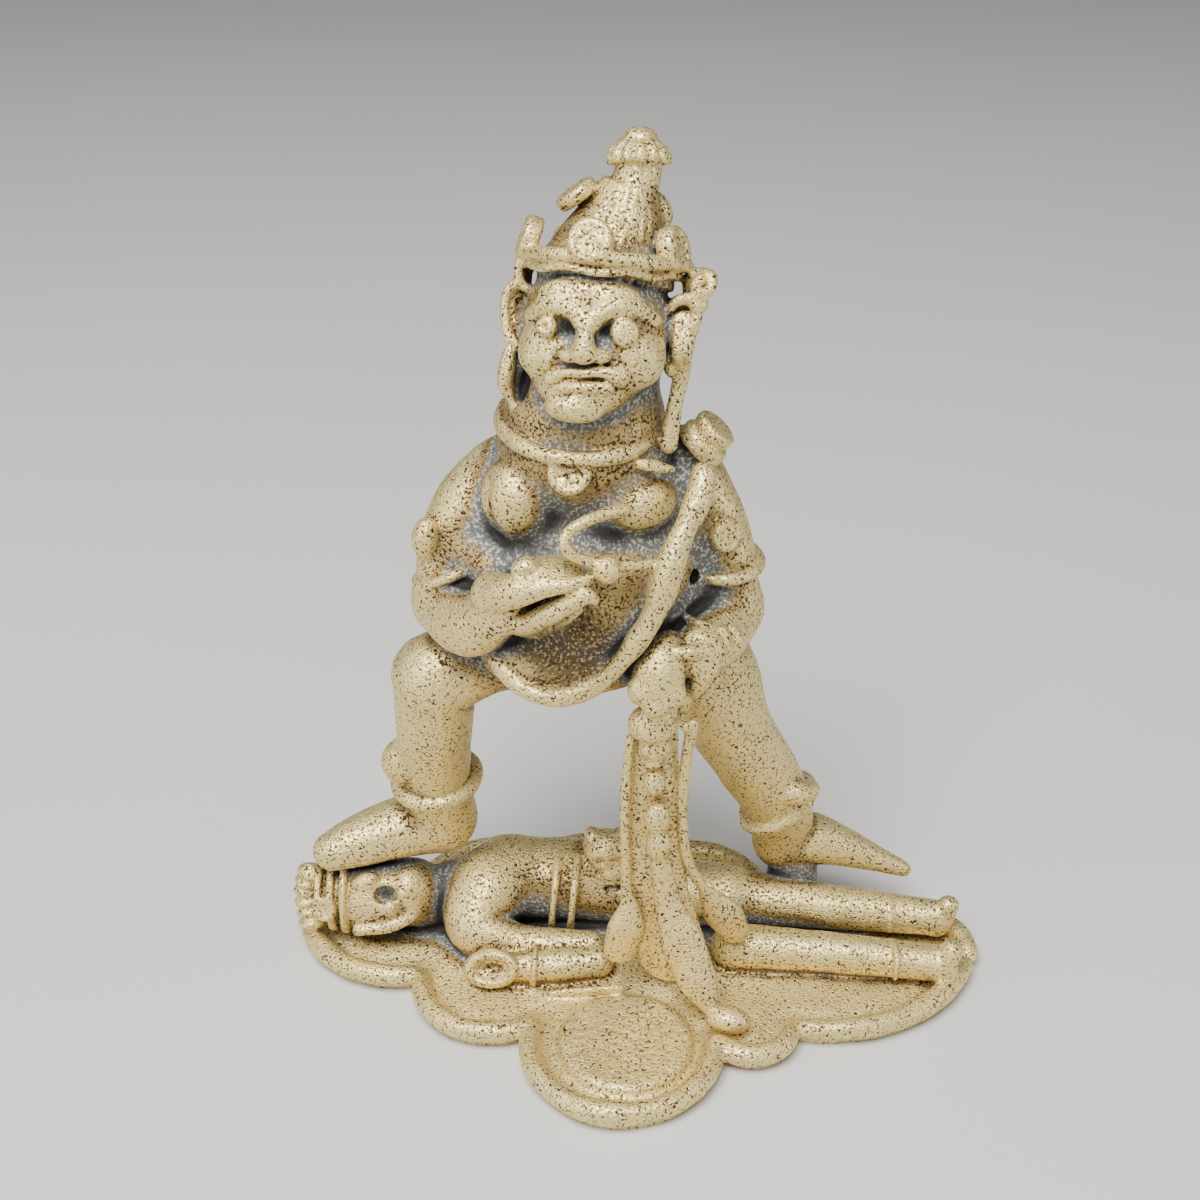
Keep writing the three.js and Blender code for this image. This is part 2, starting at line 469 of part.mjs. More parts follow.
// The small round beast's head on the lying figure's body.
function smallHead() {
  const head = move(LYING.waist, 2.6, 0, 2.8);
  return [
    egg(head, [1.9, 1.9, 2.1], { turn: [20, 0, 15] }),
    egg(move(head, 0.4, -1.3, -1.1), [1.25, 1.1, 1.0], { sides: 9, rows: 6 }),
    ...bothSides((s) => egg(move(head, s * 1.1, 0.3, 1.5), [0.6, 0.8, 0.6], { sides: 7, rows: 6 })),
  ];
}

// The outline of the base is a chain of lobes. Each is an arc from one notch through its farthest point to the next.
const LOBES = [
  [[-26.4, 0.9], [-22.4, -4.2], [-16.7, -5.0]],
  [[-16.7, -5.0], [-13.9, -10.6], [-7.8, -10.2]],
  [[-7.8, -10.2], [-1.2, -19.3], [5.5, -11.9]],
  [[5.5, -11.9], [9.0, -13.6], [11.4, -10.8]],
  [[11.4, -10.8], [19.6, -9.8], [25.9, -3.4]],
  [[25.9, -3.4], [26.0, -0.8], [24.4, 1.3]],
  [[24.4, 1.3], [17.6, 3.6], [10.4, 5.0]],
  [[10.4, 5.0], [8.4, 8.9], [2.8, 10.0]],
  [[2.8, 10.0], [-2.4, 11.6], [-7.6, 9.8]],
  [[-7.6, 9.8], [-12.9, 10.6], [-17.2, 7.2]],
  [[-17.2, 7.2], [-23.4, 6.6], [-26.4, 0.9]],
];
const STEP_LENGTH = 1.6; // length of an outline facet

// Points along the circle arc that starts at a, passes through b and ends at c.
function arc([a, b, c]) {
  const [bx, by] = [b[0] - a[0], b[1] - a[1]];
  const [cx, cy] = [c[0] - a[0], c[1] - a[1]];
  const twiceArea = 2 * (bx * cy - by * cx);
  const b2 = bx * bx + by * by;
  const c2 = cx * cx + cy * cy;
  const centre = [a[0] + (cy * b2 - by * c2) / twiceArea, a[1] + (bx * c2 - cx * b2) / twiceArea];
  const radius = Math.hypot(centre[0] - a[0], centre[1] - a[1]);
  const angle = ([x, y]) => Math.atan2(y - centre[1], x - centre[0]);
  const full = 2 * Math.PI;
  const turnTo = (p) => (((angle(p) - angle(a)) % full) + full) % full;
  const sweep = turnTo(b) < turnTo(c) ? turnTo(c) : turnTo(c) - full;
  const steps = Math.ceil((Math.abs(sweep) * radius) / STEP_LENGTH);
  return Array.from({ length: steps + 1 }, (_, i) => {
    const turn = angle(a) + (sweep * i) / steps;
    return [centre[0] + radius * Math.cos(turn), centre[1] + radius * Math.sin(turn)];
  });
}

// The base: a flat plate with a rolled rim, a swelling under the lying figure and a raised disc on the front lobe.
function base() {
  const outline = LOBES.flatMap((lobe) => arc(lobe).slice(0, -1));
  const shape = new THREE.Shape(outline.map(([x, y]) => new THREE.Vector2(x, y)));
  const plate = solid(new THREE.ExtrudeGeometry(shape, { depth: PLATE, bevelEnabled: false }));
  const rims = LOBES.map((lobe) => {
    const points = arc(lobe).map(([x, y]) => [x * 0.985, y * 0.985, RIM_HEIGHT]);
    return limb(points, [RIM * 0.85, RIM, RIM * 0.85], { sides: 7, rows: points.length - 1, facing: [0, 0, 1] });
  });
  const swelling = egg([-2, 0.5, 0.3], [21, 7.4, 1.9], { sides: 17, rows: 6 });
  const disc = turned([[0, 0], [5.3, 0], [4.8, 1.9], [0, 1.9]], { sides: 17 }).translate(-1.0, -12.4, 0);
  return [plate, ...rims, swelling, disc];
}

// What would hang below the ground is cut off, which leaves the underside flat.
const underground = solid(new THREE.BoxGeometry(100, 100, 20).translate(0, 0, -10));
const casting = joined([
  ...base(),
  ...lyingFigure(),
  ...rightLeg(),
  ...leftLeg(),
  ...trunk(),
  ...rightArm(),
  ...rightHand(),
  ...leftArm(),
  ...leftHand(),
  ...sash(),
  ...jewelFall(),
  onNeck(joined([face(), ...ears(), ...crown()])),
  pendant(),
]).subtract(underground);

// The solid as a three.js geometry again.
function geometryOf(made) {
  const mesh = made.getMesh();
  const positions = new Float32Array(mesh.numVert * 3);
  for (let i = 0; i < mesh.numVert; i += 1) {
    positions.set(mesh.vertProperties.subarray(i * mesh.numProp, i * mesh.numProp + 3), i * 3);
  }
  const geometry = new THREE.BufferGeometry();
  geometry.setAttribute("position", new THREE.BufferAttribute(positions, 3));
  geometry.setIndex(new THREE.BufferAttribute(mesh.triVerts, 1));
  return geometry;
}

// Merges neighbouring corners, the flattest places first, until the mesh has at most the given number of triangles.
// The cost of a merge is the squared distance that it moves the surface (a quadric for each corner holds it).
// A merge that would fold the surface or join two sheets is left out, and what stands on the ground stays there.
function thinned(geometry, limit) {
  const points = [];
  const position = geometry.attributes.position;
  for (let i = 0; i < position.count; i += 1) points.push(new THREE.Vector3().fromBufferAttribute(position, i));
  const index = geometry.index.array;
  const faces = [];
  const around = points.map(() => new Set()); // the faces at each corner
  for (let i = 0; i < index.length; i += 3) {
    faces.push([index[i], index[i + 1], index[i + 2]]);
    for (let k = 0; k < 3; k += 1) around[index[i + k]].add(faces.length - 1);
  }
  const normalOf = ([a, b, c]) => points[b].clone().sub(points[a]).cross(points[c].clone().sub(points[a]));
  const quadrics = points.map(() => new Float64Array(10));
  for (const face of faces) {
    const normal = normalOf(face);
    const area = normal.length() / 2;
    normal.normalize();
    const plane = [normal.x, normal.y, normal.z, -normal.dot(points[face[0]])];
    for (const corner of face) {
      let term = 0;
      for (let r = 0; r < 4; r += 1) for (let c = r; c < 4; c += 1) quadrics[corner][term++] += area * plane[r] * plane[c];
    }
  }
  const costAt = (q, { x, y, z }) =>
    q[0] * x * x + q[4] * y * y + q[7] * z * z + q[9] +
    2 * (q[1] * x * y + q[2] * x * z + q[3] * x + q[5] * y * z + q[6] * y + q[8] * z);

  // The best place for the merged corner, and what the merge costs.
  function plan(a, b) {
    const q = quadrics[a].map((value, i) => value + quadrics[b][i]);
    const grounded = [a, b].filter((corner) => points[corner].z === 0);
    const middle = points[a].clone().lerp(points[b], 0.5);
    const choices = grounded.length === 1 ? [points[grounded[0]]] : [points[a], points[b], middle];
    const costs = choices.map((place) => costAt(q, place));
    const cost = Math.min(...costs);
    const short = 1e-6 * points[a].distanceToSquared(points[b]);
    return { a, b, q, place: choices[costs.indexOf(cost)], cost: cost + short };
  }

  const neighbours = (corner) => new Set([...around[corner]].flatMap((f) => faces[f]).filter((other) => other !== corner));

  function isAllowed({ a, b, place }) {
    const near = neighbours(b);
    const shared = [...neighbours(a)].filter((corner) => near.has(corner));
    if (shared.length !== 2) return false;
    return [a, b].every((corner) =>
      [...around[corner]].every((f) => {
        if (faces[f].includes(a) && faces[f].includes(b)) return true;
        const before = normalOf(faces[f]);
        const [p, r, s] = faces[f].map((other) => (other === corner ? place : points[other]));
        const after = r.clone().sub(p).cross(s.clone().sub(p));
        return after.dot(before) > 0.5 * after.length() * before.length() && after.length() > 1e-4;
      }),
    );
  }

  const queue = new Map(); // plans by edge, sorted into cost classes when a round starts
  let count = faces.length;
  for (let worst = 1e-7; count > limit; worst *= 1.6) {
    queue.clear();
    for (const face of faces) {
      if (!face) continue;
      for (let k = 0; k < 3; k += 1) {
        const [a, b] = [face[k], face[(k + 1) % 3]];
        if (a < b) queue.set(a * points.length + b, plan(a, b));
      }
    }
    const touched = new Set();
    const cheap = [...queue.values()].filter(({ cost }) => cost < worst).sort((one, other) => one.cost - other.cost);
    for (const merge of cheap) {
      const { a, b, q, place } = merge;
      if (count <= limit) break;
      if (touched.has(a) || touched.has(b) || !isAllowed(merge)) continue;
      for (const corner of [...neighbours(a), ...neighbours(b)]) touched.add(corner);
      for (const f of [...around[b]]) {
        if (faces[f].includes(a)) {
          for (const corner of faces[f]) around[corner].delete(f);
          faces[f] = null;
          count -= 1;
        } else {
          faces[f] = faces[f].map((corner) => (corner === b ? a : corner));
          around[a].add(f);
        }
      }
      around[b].clear();
      points[a] = place.clone();
      quadrics[a] = q;
    }
  }
  const left = new THREE.BufferGeometry().setFromPoints(
    faces.filter(Boolean).flatMap((face) => face.map((corner) => points[corner])),
  );
  return mergeVertices(left);
}

const brass = new THREE.MeshStandardMaterial({ color: BRASS, roughness: 0.5, metalness: 0.85 });
const shape = thinned(geometryOf(casting), TRIANGLES);
shape.computeBoundingBox();
const statue = new THREE.Mesh(shape, brass);
statue.name = "jambhala_statue";
statue.scale.setScalar(HEIGHT / shape.boundingBox.max.z);

const group = new THREE.Group();
group.add(statue);
export default group;
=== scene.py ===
# %% [markdown]
# # A small brass Jambhala
# Jambhala is the god of wealth: a pot-bellied figure with a bowl in one hand and a mongoose that pours out
# jewels in the other. He stands on a figure that lies across a lobed base. The real thing is about 65 mm tall
# and one solid casting. Such a figure is first shaped in wax, and rolls, balls and coins of wax are pressed
# onto it. This lesson does the same with numbers: a block of cells holds the wax, each form is pressed into
# it with a soft seam, and one mesh is taken from it at the end, as the brass is from the mould.

import math

import bpy
import numpy as np
import openvdb as vdb
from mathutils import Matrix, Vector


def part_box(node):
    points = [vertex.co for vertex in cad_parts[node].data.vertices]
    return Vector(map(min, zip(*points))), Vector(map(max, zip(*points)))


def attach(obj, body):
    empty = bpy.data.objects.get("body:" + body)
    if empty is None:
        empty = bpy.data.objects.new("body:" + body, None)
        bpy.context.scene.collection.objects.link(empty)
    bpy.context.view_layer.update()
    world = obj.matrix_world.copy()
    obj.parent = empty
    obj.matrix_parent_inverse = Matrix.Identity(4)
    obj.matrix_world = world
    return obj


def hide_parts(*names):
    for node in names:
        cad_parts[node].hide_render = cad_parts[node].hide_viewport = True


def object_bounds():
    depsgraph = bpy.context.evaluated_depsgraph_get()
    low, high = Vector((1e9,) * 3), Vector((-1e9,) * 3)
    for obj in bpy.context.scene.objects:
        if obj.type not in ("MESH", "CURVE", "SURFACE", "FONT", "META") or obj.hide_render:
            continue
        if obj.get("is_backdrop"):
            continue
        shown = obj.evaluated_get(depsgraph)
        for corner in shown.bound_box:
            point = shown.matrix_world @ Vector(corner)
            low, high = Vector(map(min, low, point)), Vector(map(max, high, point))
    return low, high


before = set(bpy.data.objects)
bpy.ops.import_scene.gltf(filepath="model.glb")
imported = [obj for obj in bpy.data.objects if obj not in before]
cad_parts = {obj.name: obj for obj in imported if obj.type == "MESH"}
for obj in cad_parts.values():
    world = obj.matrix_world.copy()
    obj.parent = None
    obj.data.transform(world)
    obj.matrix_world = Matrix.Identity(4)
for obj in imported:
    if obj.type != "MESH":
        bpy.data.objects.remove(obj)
cad_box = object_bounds()
low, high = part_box("jambhala_statue")
DRAWN_HEIGHT = 64.7  # the figure is drawn at about the real size, in millimetres
MM = (high[2] - low[2]) / DRAWN_HEIGHT  # one drawn millimetre in metres
print("box of the casting in mm:", [round(1000 * (b - a), 2) for a, b in zip(low, high)])

# %% [markdown]
# ## The block of wax
# A sculpted figure has no edges that could be drawn one by one: arms, belts and beads all run into each other.
# Joining meshes leaves sharp seams, and sculpting by hand can't be repeated. A distance field does both. Each
# cell says how far it is from the surface, negative inside, so two forms are joined by taking the smaller
# distance, and a soft seam is a smooth minimum. The cells are a sixth of a millimetre, finer than the beads.


# %% A block of cells that forms are added to and cut from
CELL = 0.16  # edge of a cell in millimetres
FAR = 4.0  # what a cell says when nothing is near


def smooth_min(a, b, blend):
    """The smaller of two distances, with a rounded seam as wide as the blend."""
    near = np.maximum(blend - np.abs(a - b), 0) / blend
    return np.minimum(a, b) - near * near * (blend / 4)


class Form:
    """A shape that knows its box and how far any point is from its surface."""

    def __init__(self, low, high, distance):
        self.low = np.array(low, float)
        self.high = np.array(high, float)
        self.distance = distance


class Wax:
    """A block of cells, each with its distance to the surface of the wax."""

    def __init__(self, low, high):
        self.low = np.array(low, float)
        self.count = np.ceil((np.array(high) - self.low) / CELL).astype(int)
        self.field = np.full(self.count, FAR, np.float32)

    def cells(self, low, high):
        """The first and last cells of the part of the block between two corners."""
        first = np.floor((np.array(low) - self.low) / CELL).astype(int)
        last = np.ceil((np.array(high) - self.low) / CELL).astype(int) + 1
        return np.clip(first, 0, self.count), np.clip(last, 0, self.count)

    def axes(self, first, last):
        """The x, y and z of the cells, each along its own axis."""
        lines = [self.low[i] + CELL * np.arange(first[i], last[i], dtype=np.float32) for i in range(3)]
        return lines[0][:, None, None], lines[1][None, :, None], lines[2][None, None, :]

    def layer(self, forms, blend):
        """The window that the forms reach and their distances in it."""
        margin = blend + 3 * CELL
        first, last = self.cells(
            np.min([form.low for form in forms], axis=0) - margin,
            np.max([form.high for form in forms], axis=0) + margin,
        )
        layer = np.full(last - first, FAR, np.float32)
        for form in forms:
            a, b = self.cells(form.low - margin, form.high + margin)
            part = layer[tuple(slice(i, j) for i, j in zip(a - first, b - first))]
            np.minimum(part, form.distance(*self.axes(a, b)), out=part)
        return tuple(slice(i, j) for i, j in zip(first, last)), layer

    def add(self, *forms, blend=0.3):
        window, layer = self.layer(flat(forms), blend)
        self.field[window] = smooth_min(self.field[window], layer, blend)

    def cut(self, *forms, blend=0.2):
        window, layer = self.layer(flat(forms), blend)
        self.field[window] = -smooth_min(-self.field[window], layer, blend)


def flat(forms):
    """One list out of forms and lists of forms."""
    return [one for form in forms for one in (flat(form) if isinstance(form, (list, tuple)) else [form])]


wax = Wax((-28.5, -21.2, -0.7), (28.3, 13.6, 66.3))
print("cells in the block:", wax.field.size)

# %% [markdown]
# ## Eggs, rods and coins
# The caster uses few kinds of form. An egg is a ball of wax pressed longer or flatter. A rod is rolled between
# the fingers, thicker here and thinner there, and bent: arms, legs, ribbons and lips are rods. A coin is a
# ball pressed flat. Each takes a place, a matrix, so that a head can be built upright and then set leaning.


# %% Places, paths and forms
UPRIGHT = np.eye(4)


def rotation(axis, angle):
    """A place that turns about one axis by degrees."""
    i, j = [k for k in range(3) if k != "xyz".index(axis)]
    if axis == "y":
        i, j = j, i
    turn = np.eye(4)
    turn[i, i] = turn[j, j] = math.cos(math.radians(angle))
    turn[j, i] = math.sin(math.radians(angle))
    turn[i, j] = -turn[j, i]
    return turn


def shift(offset):
    """A place that moves without a turn."""
    place = np.eye(4)
    place[:3, 3] = offset
    return place


def carried(points, on):
    """Points of a place as points of the block."""
    return np.asarray(points, float) @ on[:3, :3].T + on[:3, 3]


def unit(vector):
    return np.asarray(vector, float) / np.linalg.norm(vector)


def aimed(centre, normal, on=UPRIGHT):
    """A place at the centre whose z axis is the normal and whose y axis points up as far as it can."""
    z = unit(normal)
    x = unit(np.cross((0, 0, 1) if abs(z[2]) < 0.99 else (0, 1, 0), z))
    place = np.eye(4)
    place[:3, :3] = np.column_stack([x, np.cross(z, x), z])
    place[:3, 3] = centre
    return on @ place


def egg(centre, radii, turn=(0, 0, 0), on=UPRIGHT):
    """A ball with three radii, turned by degrees about x, y and z."""
    place = on @ shift(centre) @ rotation("x", turn[0]) @ rotation("y", turn[1]) @ rotation("z", turn[2])
    middle, axes = place[:3, 3], place[:3, :3]
    size = np.array([radii] * 3 if np.isscalar(radii) else radii, float)
    half = np.sqrt(((axes * size) ** 2).sum(axis=1))

    def distance(x, y, z):
        x, y, z = x - middle[0], y - middle[1], z - middle[2]
        ratio = steep = 0
        for k in range(3):
            along = (x * axes[0, k] + y * axes[1, k] + z * axes[2, k]) / size[k]
            ratio = ratio + along * along
            steep = steep + (along / size[k]) ** 2
        ratio, steep = np.sqrt(ratio), np.sqrt(steep)
        return ratio * (ratio - 1) / np.maximum(steep, 1e-6)

    return Form(middle - half, middle + half, distance)


def path_through(points, closed=False, step=0.5):
    """A smooth path through the points, and how far along the list each of its points is, from 0 to 1."""
    points = np.asarray(points, float)
    if closed:
        ring = np.vstack([points[-1], points, points[:2]])
    else:
        ring = np.vstack([2 * points[0] - points[1], points, 2 * points[-1] - points[-2]])
    spans = len(ring) - 3
    made, share = [], []
    for i in range(spans):
        a, b, c, d = ring[i : i + 4]
        # Centripetal spacing keeps the path from looping where points are close together.
        ab, bc, cd = [max(np.linalg.norm(q - p), 1e-6) ** 0.5 for p, q in ((a, b), (b, c), (c, d))]
        leaving = ((b - a) / ab - (c - a) / (ab + bc) + (c - b) / bc) * bc
        arriving = ((c - b) / bc - (d - b) / (bc + cd) + (d - c) / cd) * bc
        count = max(2, math.ceil(bc * bc / step))
        for t in np.arange(count) / count:
            made.append(
                b * (2 * t**3 - 3 * t**2 + 1)
                + leaving * (t**3 - 2 * t**2 + t)
                + c * (3 * t**2 - 2 * t**3)
                + arriving * (t**3 - t**2)
            )
            share.append((i + t) / spans)
    made.append(ring[-2])
    share.append(1.0)
    return np.array(made), np.array(share)


def rod(points, radii, flat=1.0, facing=(0, 1, 0.02), closed=False, on=UPRIGHT):
    """A bar through the points, with radii spread evenly along it and round ends.

    flat squeezes it along the facing direction, as a strap or a leaf is.
    """
    radii = [radii] if np.isscalar(radii) else radii
    path, share = path_through(carried(points, on), closed, step=min(max(0.4 * min(radii), 0.3), 1.0))
    width = np.interp(share, np.linspace(0, 1, len(radii)), radii) if len(radii) > 1 else share * 0 + radii[0]
    if len(width) > 4:
        width[1:-1] = (width[:-2] + 2 * width[1:-1] + width[2:]) / 4
    face = on[:3, :3] @ unit(facing)
    pieces = []
    for a, b, thick, thin in zip(path[:-1], path[1:], width[:-1], width[1:]):
        pieces.append(straight(a, b, thick, thin, flat, face))
    return pieces


def straight(start, end, radius, end_radius, flat, face):
    """A straight piece of a rod."""
    axis = end - start
    square = max(axis @ axis, 1e-9)
    side = unit(np.cross(face, axis)) if flat != 1 else None
    front = unit(np.cross(axis, side)) if flat != 1 else None
    widest = max(radius, end_radius)

    def distance(x, y, z):
        x, y, z = x - start[0], y - start[1], z - start[2]
        t = np.clip((x * axis[0] + y * axis[1] + z * axis[2]) / square, 0, 1)
        x, y, z = x - t * axis[0], y - t * axis[1], z - t * axis[2]
        reach = x * x + y * y + z * z
        width = radius + t * (end_radius - radius)
        if flat == 1:
            return np.sqrt(reach) - width
        depth = (x * front[0] + y * front[1] + z * front[2]) ** 2
        near = np.sqrt(reach + depth * (1 / flat**2 - 1))
        steep = np.sqrt(np.maximum(reach + depth * (1 / flat**4 - 1), 1e-6))
        return (near - width) * near / steep

    return Form(np.minimum(start, end) - widest, np.maximum(start, end) + widest, distance)


def coin(radius, thick, edge=0.25, on=UPRIGHT):
    """A round disc with a soft edge, from its place up along the place's z axis."""
    middle = carried((0, 0, thick / 2), on)
    normal = on[:3, 2]
    edge = min(edge, thick / 2)

    def distance(x, y, z):
        x, y, z = x - middle[0], y - middle[1], z - middle[2]
        height = x * normal[0] + y * normal[1] + z * normal[2]
        across = np.sqrt(np.maximum(x * x + y * y + z * z - height * height, 0)) - (radius - edge)
        height = np.abs(height) - (thick / 2 - edge)
        outside = np.sqrt(np.maximum(across, 0) ** 2 + np.maximum(height, 0) ** 2)
        return outside + np.minimum(np.maximum(across, height), 0) - edge

    half = radius * np.sqrt(1 - np.minimum(normal**2, 1)) + thick / 2 * np.abs(normal)
    return Form(middle - half, middle + half, distance)


def around(centre, wide, deep, start=0, end=360, count=12):
    """Points on an ellipse whose half-widths are the vectors wide and deep, between two angles in degrees."""
    turns = np.radians(np.linspace(start, end, count, endpoint=end - start < 360))[:, None]
    return np.array(centre) + np.cos(turns) * np.array(wide) + np.sin(turns) * np.array(deep)


print("a test path of", len(path_through([(0, 0, 0), (5, 0, 0), (5, 5, 0)])[0]), "points")

# %% [markdown]
# ## Nodes written as sums
# Both the repeated ornaments and the finish are node trees. Node by node they would be long to write and hard to
# read, so one small class wraps an output socket, and sums of such sockets add their own Math nodes. Every other
# node comes from one method that takes its type, its settings and what goes into its sockets.


# %% A socket that can be used in sums, and a tree that makes nodes
class Value:
    """An output socket."""

    def __init__(self, tree, socket):
        self.tree = tree
        self.socket = socket

    def math(self, operation, *others):
        return self.tree.add("ShaderNodeMath", {"operation": operation}, *(self, *others))[0]

    def __add__(self, other):
        return self.math("ADD", other)

    def __sub__(self, other):
        return self.math("SUBTRACT", other)

    def __rsub__(self, other):
        return self.tree.add("ShaderNodeMath", {"operation": "SUBTRACT"}, other, self)[0]

    def __mul__(self, other):
        return self.math("MULTIPLY", other)

    def __truediv__(self, other):
        return self.math("DIVIDE", other)

    def __pow__(self, other):
        return self.math("POWER", other)

    __radd__ = __add__
    __rmul__ = __mul__

    def limited(self):
        """The value kept between 0 and 1."""
        return self.tree.add("ShaderNodeClamp", {}, self)[0]

    def between(self, start, end):
        """0 below start, 1 above end and a soft step between."""
        settings = {"interpolation_type": "SMOOTHSTEP"}
        links = {"Value": self, "From Min": start, "From Max": end}
        return self.tree.add("ShaderNodeMapRange", settings, **{"links": links})[0]


class Tree:
    """A node tree, of a material or of Geometry Nodes."""

    def __init__(self, tree):
        self.tree = tree

    def add(self, kind, settings, *values, links=None):
        """A new node: settings first, then values or links by order or by socket name. Returns its outputs."""
        node = self.tree.nodes.new(kind)
        for name, setting in settings.items():
            setattr(node, name, setting)
        for key, value in [*enumerate(values), *(links or {}).items()]:
            socket = self.find(node.inputs, key)
            if isinstance(value, Value):
                self.tree.links.new(value.socket, socket)
            else:
                socket.default_value = value
        return Outputs(self, node)

    @staticmethod
    def find(sockets, key):
        if isinstance(key, int):
            return sockets[key]
        return next(socket for socket in sockets if socket.name == key and socket.enabled)


class Outputs:
    """The outputs of a node, by number or name."""

    def __init__(self, tree, node):
        self.tree = tree
        self.node = node

    def __getitem__(self, key):
        return Value(self.tree, Tree.find(self.node.outputs, key))


brass = bpy.data.materials.new("aged_brass")
print("the finish starts empty:", brass.name)

# %% [markdown]
# ## Ornaments from Geometry Nodes
# Bands, beads, petals, locks of hair and pits repeat one form along a path, round an axis or over a face, which
# is what Geometry Nodes are for. Each tree below has named inputs for its sizes and a seed for its unevenness,
# and ends in Realize Instances and Set Material. The result becomes a plain mesh and is pressed into the wax.


# %% Start and end a tree, run it and press the result into the wax
def ornament_tree(name, **inputs):
    """A new Geometry Nodes tree with a geometry input and the named number inputs."""
    group = bpy.data.node_groups.new(name, "GeometryNodeTree")
    group.interface.new_socket("Geometry", in_out="OUTPUT", socket_type="NodeSocketGeometry")
    group.interface.new_socket("Geometry", in_out="INPUT", socket_type="NodeSocketGeometry")
    for key, value in inputs.items():
        kind = "NodeSocketInt" if isinstance(value, int) else "NodeSocketFloat"
        group.interface.new_socket(key, in_out="INPUT", socket_type=kind).default_value = value
    tree = Tree(group)
    return tree, tree.add("NodeGroupInput", {})


def finish_tree(tree, geometry):
    """Realises the instances, gives the ornament its material and ends the tree."""
    real = tree.add("GeometryNodeRealizeInstances", {}, geometry)[0]
    done = tree.add("GeometryNodeSetMaterial", {}, links={"Geometry": real, "Material": brass})[0]
    tree.add("NodeGroupOutput", {}, done)
    return tree.tree


def polyline(points, closed=False, **attributes):
    """A mesh of edges through the points, with a number at each point for every attribute."""
    mesh = bpy.data.meshes.new("path")
    count = len(points)
    edges = [(i, (i + 1) % count) for i in range(count if closed else count - 1)]
    mesh.from_pydata([tuple(point) for point in points], edges, [])
    for name, values in attributes.items():
        mesh.attributes.new(name, "FLOAT", "POINT").data.foreach_set("value", np.full(count, 1.0) * values)
    return mesh


def grown(group, mesh, **inputs):
    """Runs a tree on a mesh and gives the corners and triangles of the result."""
    holder = bpy.data.objects.new("ornament", mesh)
    bpy.context.scene.collection.objects.link(holder)
    modifier = holder.modifiers.new("ornament", "NODES")
    modifier.node_group = group
    for socket in group.interface.items_tree:
        if socket.in_out == "INPUT" and socket.name in inputs:
            modifier[socket.identifier] = inputs[socket.name]
    result = bpy.data.meshes.new_from_object(holder.evaluated_get(bpy.context.evaluated_depsgraph_get()))
    result.calc_loop_triangles()
    corners = np.empty(len(result.vertices) * 3, np.float32)
    result.vertices.foreach_get("co", corners)
    triangles = np.empty(len(result.loop_triangles) * 3, np.int32)
    result.loop_triangles.foreach_get("vertices", triangles)
    bpy.data.objects.remove(holder)
    bpy.data.meshes.remove(mesh)
    bpy.data.meshes.remove(result)
    return corners.reshape(-1, 3), triangles.reshape(-1, 3)


def meshed(corners, triangles, on=UPRIGHT):
    """A closed mesh as a form: its distances come from a narrow level set round its surface."""
    WIDTH = 5  # cells on each side of the surface
    corners = carried(corners, on)
    low, high = corners.min(axis=0), corners.max(axis=0)
    first = np.floor((low - wax.low) / CELL).astype(int) - WIDTH
    last = np.ceil((high - wax.low) / CELL).astype(int) + WIDTH
    grid = vdb.FloatGrid.createLevelSetFromPolygons(
        ((corners - wax.low) / CELL).astype(np.float32),
        triangles=triangles.astype(np.uint32),
        transform=vdb.createLinearTransform(voxelSize=1.0),
        halfWidth=WIDTH,
    )
    block = np.full(last - first, WIDTH, np.float32)
    grid.copyToArray(block, ijk=tuple(int(i) for i in first))
    block *= CELL

    def distance(x, y, z):
        whole = np.full((x.size, y.size, z.size), FAR, np.float32)
        start = [int(round((axis.flat[0] - wax.low[k]) / CELL)) for k, axis in enumerate((x, y, z))]
        theirs, ours = [], []
        for k in range(3):
            a = max(start[k], first[k])
            b = min(start[k] + whole.shape[k], last[k])
            ours.append(slice(a - start[k], b - start[k]))
            theirs.append(slice(a - first[k], b - first[k]))
        whole[tuple(ours)] = block[tuple(theirs)]
        return whole

    return Form(low, high, distance)


# %% [markdown]
# ### A rolled band
# The rim of the base, the collar, the armlets and the anklets are thin rolls of wax laid along a line. The tree
# resamples the line, sweeps a circle along it, lets the thickness wander a little as a hand-rolled string does,
# and rounds the ends. A plain bevelled curve would do too, but it couldn't wander or end in a ball.

# %% The tree of the rolled band
tree, given = ornament_tree("rolled_band", Radius=0.5, Spacing=0.25, Sides=12, Unevenness=0.12, Seed=1)
line = tree.add("GeometryNodeMeshToCurve", {}, given["Geometry"])[0]
line = tree.add("GeometryNodeResampleCurve", {"mode": "LENGTH"}, links={"Curve": line, "Length": given["Spacing"]})[0]
where = tree.add("GeometryNodeInputPosition", {})[0]
noise = tree.add(
    "ShaderNodeTexNoise",
    {"noise_dimensions": "4D"},
    links={"Vector": where, "W": given["Seed"] * 7.3, "Scale": 0.35, "Detail": 1.0},
)[0]
thickness = tree.add("GeometryNodeInputNamedAttribute", {"data_type": "FLOAT"}, links={"Name": "thickness"})[0]
passed = tree.add("GeometryNodeSplineParameter", {})["Length"]
whole = tree.add("GeometryNodeSplineLength", {})["Length"]
full = thickness * given["Radius"] * (1 + given["Unevenness"] * 2 * (noise - 0.5))
ends = (passed.math("MINIMUM", whole - passed) / given["Radius"]).limited()
closed_line = tree.add("GeometryNodeInputSplineCyclic", {})[0]
rounded = (1 - (1 - ends) ** 2.0 + 0.001) ** 0.5
scale = full * rounded.math("MAXIMUM", closed_line)
profile = tree.add(
    "GeometryNodeCurvePrimitiveCircle", {"mode": "RADIUS"}, links={"Resolution": given["Sides"], "Radius": 1.0}
)[0]
